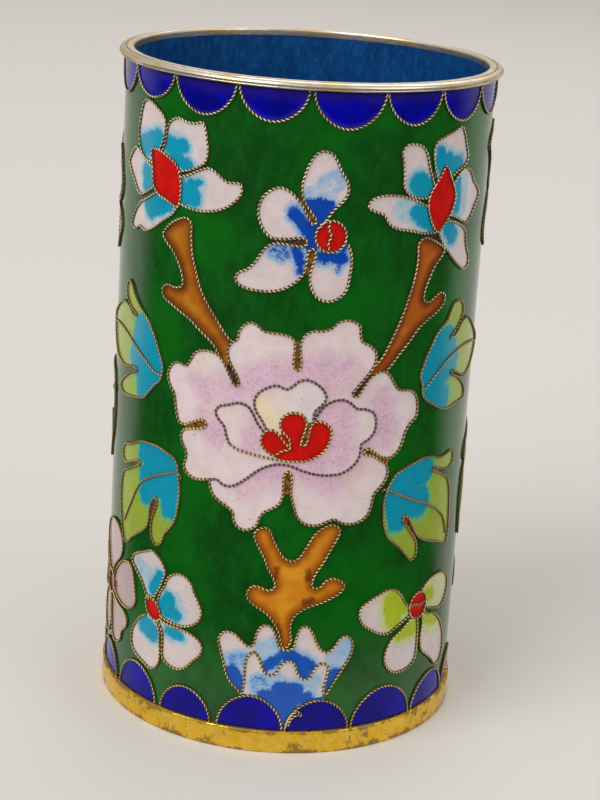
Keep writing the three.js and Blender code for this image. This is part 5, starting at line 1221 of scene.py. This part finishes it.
blue_heart = ellipse(*BLUE_BLOSSOM_HEART)
motif("blue_blossom", "petal_enamel",
      [(BLUE_BLOSSOM_WIRE, BLUE_STROKES, 0, 0), (blue_heart, [], 1, 1), (BLUE_BROWN_SLIT, [], 2, 3)]
      + [(slit, [], 2, 2) for slit in BLUE_GILT_SLITS],
      [cobalt_petal, heart_red, gilt_solder, brown_solder],
      [(BLUE_BLOSSOM_WIRE, False, 0), (blue_heart, True, 0), (BLUE_HEART_DIVIDER, False, 0)])

leaf("leaf_upper_left", LEAF_UPPER_LEFT, LEAF_UPPER_LEFT_VEIN, LEAF_UPPER_LEFT_STROKES, UPPER_LEFT_SLITS)
leaf("leaf_upper_right", LEAF_UPPER_RIGHT, LEAF_UPPER_RIGHT_VEIN, LEAF_UPPER_RIGHT_STROKES, UPPER_RIGHT_SLITS)
leaf("leaf_lower_left", LEAF_LOWER_LEFT, LEAF_LOWER_LEFT_VEIN, LEAF_LOWER_LEFT_STROKES, LOWER_LEFT_SLITS,
     [(LEAF_LOWER_LEFT_TAIL, False, 0)], SIDE_LEAF_COPIES)
leaf("leaf_lower_right", LEAF_LOWER_RIGHT, LEAF_LOWER_RIGHT_VEIN, LEAF_LOWER_RIGHT_STROKES, LOWER_RIGHT_SLITS,
     [(LEAF_LOWER_RIGHT_TAIL, False, 0)])

# A branch is open where it goes under the peony
branch_left = BRANCH_LEFT_RIGHT_SIDE[::-1] + BRANCH_LEFT_LEFT_SIDE
motif("branch_left", "amber_enamel", [(branch_left + BRANCH_LEFT_END, [], -1, 0)], [left_amber],
      [([(-10.9, 75.3)] + branch_left + [(-13.2, 72.7)], False, 0)])
branch_right = BRANCH_RIGHT_RIGHT_SIDE[::-1] + BRANCH_RIGHT_LEFT_SIDE
motif("branch_right", "amber_enamel", [(branch_right + BRANCH_RIGHT_END, [], -1, 0)], [right_amber],
      [([(16.6, 70.9)] + branch_right + [(14.5, 72.2)], False, 0)])
motif("trunk", "amber_enamel", [(TRUNK, TRUNK_BURNS, 1, 0)], [trunk_amber], [(TRUNK, True, 0)])

rock_inner_cell = ROCK_INNER + [(6.5, 10.4), (2.1, 8.6), (-4.0, 10.6)]
motif("rocks", "rock_enamel",
      [(ROCK_OUTER + ROCK_FOOT, ROCK_STROKES, 0, 0), (rock_inner_cell, ROCK_INNER_STROKES, 1, 0)],
      [rock_glaze], [(ROCK_OUTER, False, 0), (ROCK_INNER, False, 0)])

# The peony's petals are separate cells, pink towards their roots
PEONY_ROOTS = [
    ((-10.5, 66.5), (-6.0, 69.5), 1.6), ((-6.0, 69.5), (1.0, 71.5), 1.6), ((3.0, 70.5), (9.5, 70.5), 2.6),
    ((-16.5, 66.5), (-12.0, 66.0), 1.2), ((-12.5, 66.5), (-14.5, 60.0), 1.4),
    ((-14.0, 59.5), (-11.5, 57.0), 1.4), ((16.0, 66.0), (17.0, 60.0), 1.6),
    ((14.0, 58.0), (9.0, 51.8), 1.3), ((9.0, 51.6), (2.0, 52.4), 1.2), ((-1.6, 53.4), (-7.0, 49.8), 1.4),
    ((-3.0, 55.0), (-9.5, 54.6), 0.6),
]
PEONY_INNER_ROOTS = [((8.6, 64.0), (8.8, 56.0), 2.0), ((6.0, 54.6), (1.0, 54.2), 0.6)]
PEONY_LEFT_ROOTS = [((-5.6, 60.4), (-6.6, 57.0), 1.3)]
PEONY_TOP_STROKES = [((-5.2, 65.4), (-3.4, 62.4), 1.6), ((-3.0, 63.6), (-1.6, 66.0), 1.0, WASH)]
peony_edge = []
stretch_start = 0
for first, last in PEONY_GILT_STRETCHES:
    peony_edge.append((PEONY_OUTLINE[stretch_start:first + 1], False, 2))
    peony_edge.append((PEONY_OUTLINE[first:last + 1], False, 0))
    stretch_start = last
peony_edge.append((PEONY_OUTLINE[stretch_start:] + PEONY_OUTLINE[:1], False, 2))
peony_fold_cell = PEONY_FOLD + [(3.0, 60.6), (-4.6, 59.6), (-10.0, 58.5), (-12.4, 54.5)]
peony_top_cell = PEONY_TOP_PETAL + [(2.6, 60.4), (-2.0, 59.8)]
peony_left_cell = PEONY_LEFT_PETAL[:16] + [(0.6, 57.0), (-2.0, 60.0)]
peony_seed_cell = [(0.9, 55.1)] + PEONY_LEFT_PETAL[17:25] + [(3.3, 60.4), (2.9, 61.9)]
peony_seed_cell += PEONY_MIDDLE_SEED[4:9] + [(-1.4, 59.6)] + PEONY_LEFT_SEED[7:2:-1] + [(-2.4, 55.7)]
peony_cells = [
    (PEONY_OUTLINE, PEONY_ROOTS, 0, 0), (peony_fold_cell, PEONY_INNER_ROOTS, 1, 0),
    (peony_left_cell, PEONY_LEFT_ROOTS, 2, 0), (peony_top_cell, PEONY_TOP_STROKES, 3, 1),
    (peony_seed_cell, [], 4, 2),
]
peony_cells += [(slit, [], 5, 3) for slit in PEONY_SLITS] + [(slit, [], 5, 4) for slit in PEONY_BROWN_SLITS]
peony_inner_wires = [
    (PEONY_FOLD, False, 1), (PEONY_TOP_PETAL, False, 1), (PEONY_LEFT_PETAL[:12], False, 1),
    (PEONY_LEFT_PETAL[11:], False, 0), (PEONY_MIDDLE_SEED, False, 0), (PEONY_LEFT_SEED, True, 0),
]
motif("peony", "petal_enamel", peony_cells, [peony_petal, peony_cream, heart_red, gilt_solder, brown_solder],
      peony_edge + peony_inner_wires, (yellow_gilt, dark_wire, olive_wire))


# Stage: a pale floor that curves up into a backdrop, soft lamps, and the photograph's viewpoint
def stage():
    SIZE, SHIFT_BACK, BACKDROP_HEIGHT = 4.0, 0.6, 3.0
    BEND, BEND_STEPS = 1.2, 24
    FAR_Y, ON_FLOOR = 1.9, 0.01
    finish = Finish("pale_stage", 0.8)
    # The photographed front mirrors a darker place, so the floor in front is darker, but only in reflections
    side = finish.value("ShaderNodeSeparateXYZ", None, {0: finish.coordinates}, output="Y")
    front = 1 - finish.step(side * MM_PER_METRE / finish.radius(), 0.1, 0.5)
    far = finish.step(finish.radius(), 42, 90)
    mirrored = finish.value("ShaderNodeLightPath", output="Is Glossy Ray")
    finish.set("Base Color", finish.mix(mirrored * front * far, srgb(220, 215, 210), srgb(46, 43, 40)))
    bpy.ops.mesh.primitive_plane_add(size=SIZE, location=(0, SHIFT_BACK, 0))
    floor = bpy.context.view_layer.objects.active
    floor.name = "floor"

    def edit_far_edge():
        """Edit mode, with only the floor's far edge selected."""
        bpy.ops.object.mode_set(mode="OBJECT")
        for edge in floor.data.edges:
            ends = [floor.data.vertices[v].co for v in edge.vertices]
            edge.select = all(end.y > FAR_Y and abs(end.z) < ON_FLOOR for end in ends)
        bpy.ops.object.mode_set(mode="EDIT")

    bpy.ops.object.mode_set(mode="EDIT")
    bpy.ops.mesh.select_mode(type="EDGE")
    bpy.ops.mesh.select_all(action="DESELECT")
    edit_far_edge()
    bpy.ops.mesh.extrude_region_move(TRANSFORM_OT_translate={"value": (0, 0, BACKDROP_HEIGHT)})
    edit_far_edge()
    bpy.ops.mesh.bevel(offset=BEND, segments=BEND_STEPS)
    bpy.ops.object.mode_set(mode="OBJECT")
    bpy.ops.object.shade_smooth()
    bpy.ops.object.transform_apply(location=True, rotation=True, scale=True)
    floor.data.materials.append(finish.material)


def camera():
    """The viewpoint that the photograph was taken from, found from the rim, foot and scallops."""
    PLACE = Vector((0, -362.29, 170.89)) * MM
    PITCH, YAW, ROLL = 0.3077, 0.0045, 0.0617
    FOCAL_PIXELS, LONG_SIDE_PIXELS = 2044.91, 800
    forward = Vector((math.sin(YAW) * math.cos(PITCH), math.cos(YAW) * math.cos(PITCH), -math.sin(PITCH)))
    right = Vector((math.cos(YAW), -math.sin(YAW), 0))
    up = right.cross(forward)
    turned_right = right * math.cos(ROLL) + up * math.sin(ROLL)
    turned_up = up * math.cos(ROLL) - right * math.sin(ROLL)
    data = bpy.data.cameras.new("photograph_view")
    data.sensor_width = 36
    data.lens = data.sensor_width * FOCAL_PIXELS / LONG_SIDE_PIXELS
    data.clip_start = 0.01
    item = new_object("photograph_view", data)
    axes = Matrix((turned_right, turned_up, -forward)).transposed()
    item.matrix_world = Matrix.Translation(PLACE) @ axes.to_4x4()
    bpy.context.scene.camera = item


def lamp(name, place, size, watts, aim=(0, 0, 0.06)):
    data = bpy.data.lights.new(name, "AREA")
    data.shape = "RECTANGLE"
    data.size, data.size_y = size
    data.energy = watts
    item = new_object(name, data)
    item.location = place
    item.rotation_euler = (Vector(aim) - Vector(place)).to_track_quat("-Z", "Y").to_euler()


def light():
    world = bpy.data.worlds.new("studio")
    world.use_nodes = True
    world.node_tree.nodes["Background"].inputs["Color"].default_value = (1.0, 0.985, 0.965, 1)
    world.node_tree.nodes["Background"].inputs["Strength"].default_value = 0.62
    bpy.context.scene.world = world
    lamp("window", (-0.75, -0.75, 1.05), (0.9, 0.9), 10.5)
    lamp("fill", (0.9, -0.6, 0.7), (0.8, 0.8), 2.2)
    lamp("back", (0.2, 0.9, 0.9), (0.9, 0.5), 2.5)


stage()
camera()
light()
bpy.context.scene.view_settings.view_transform = "Standard"
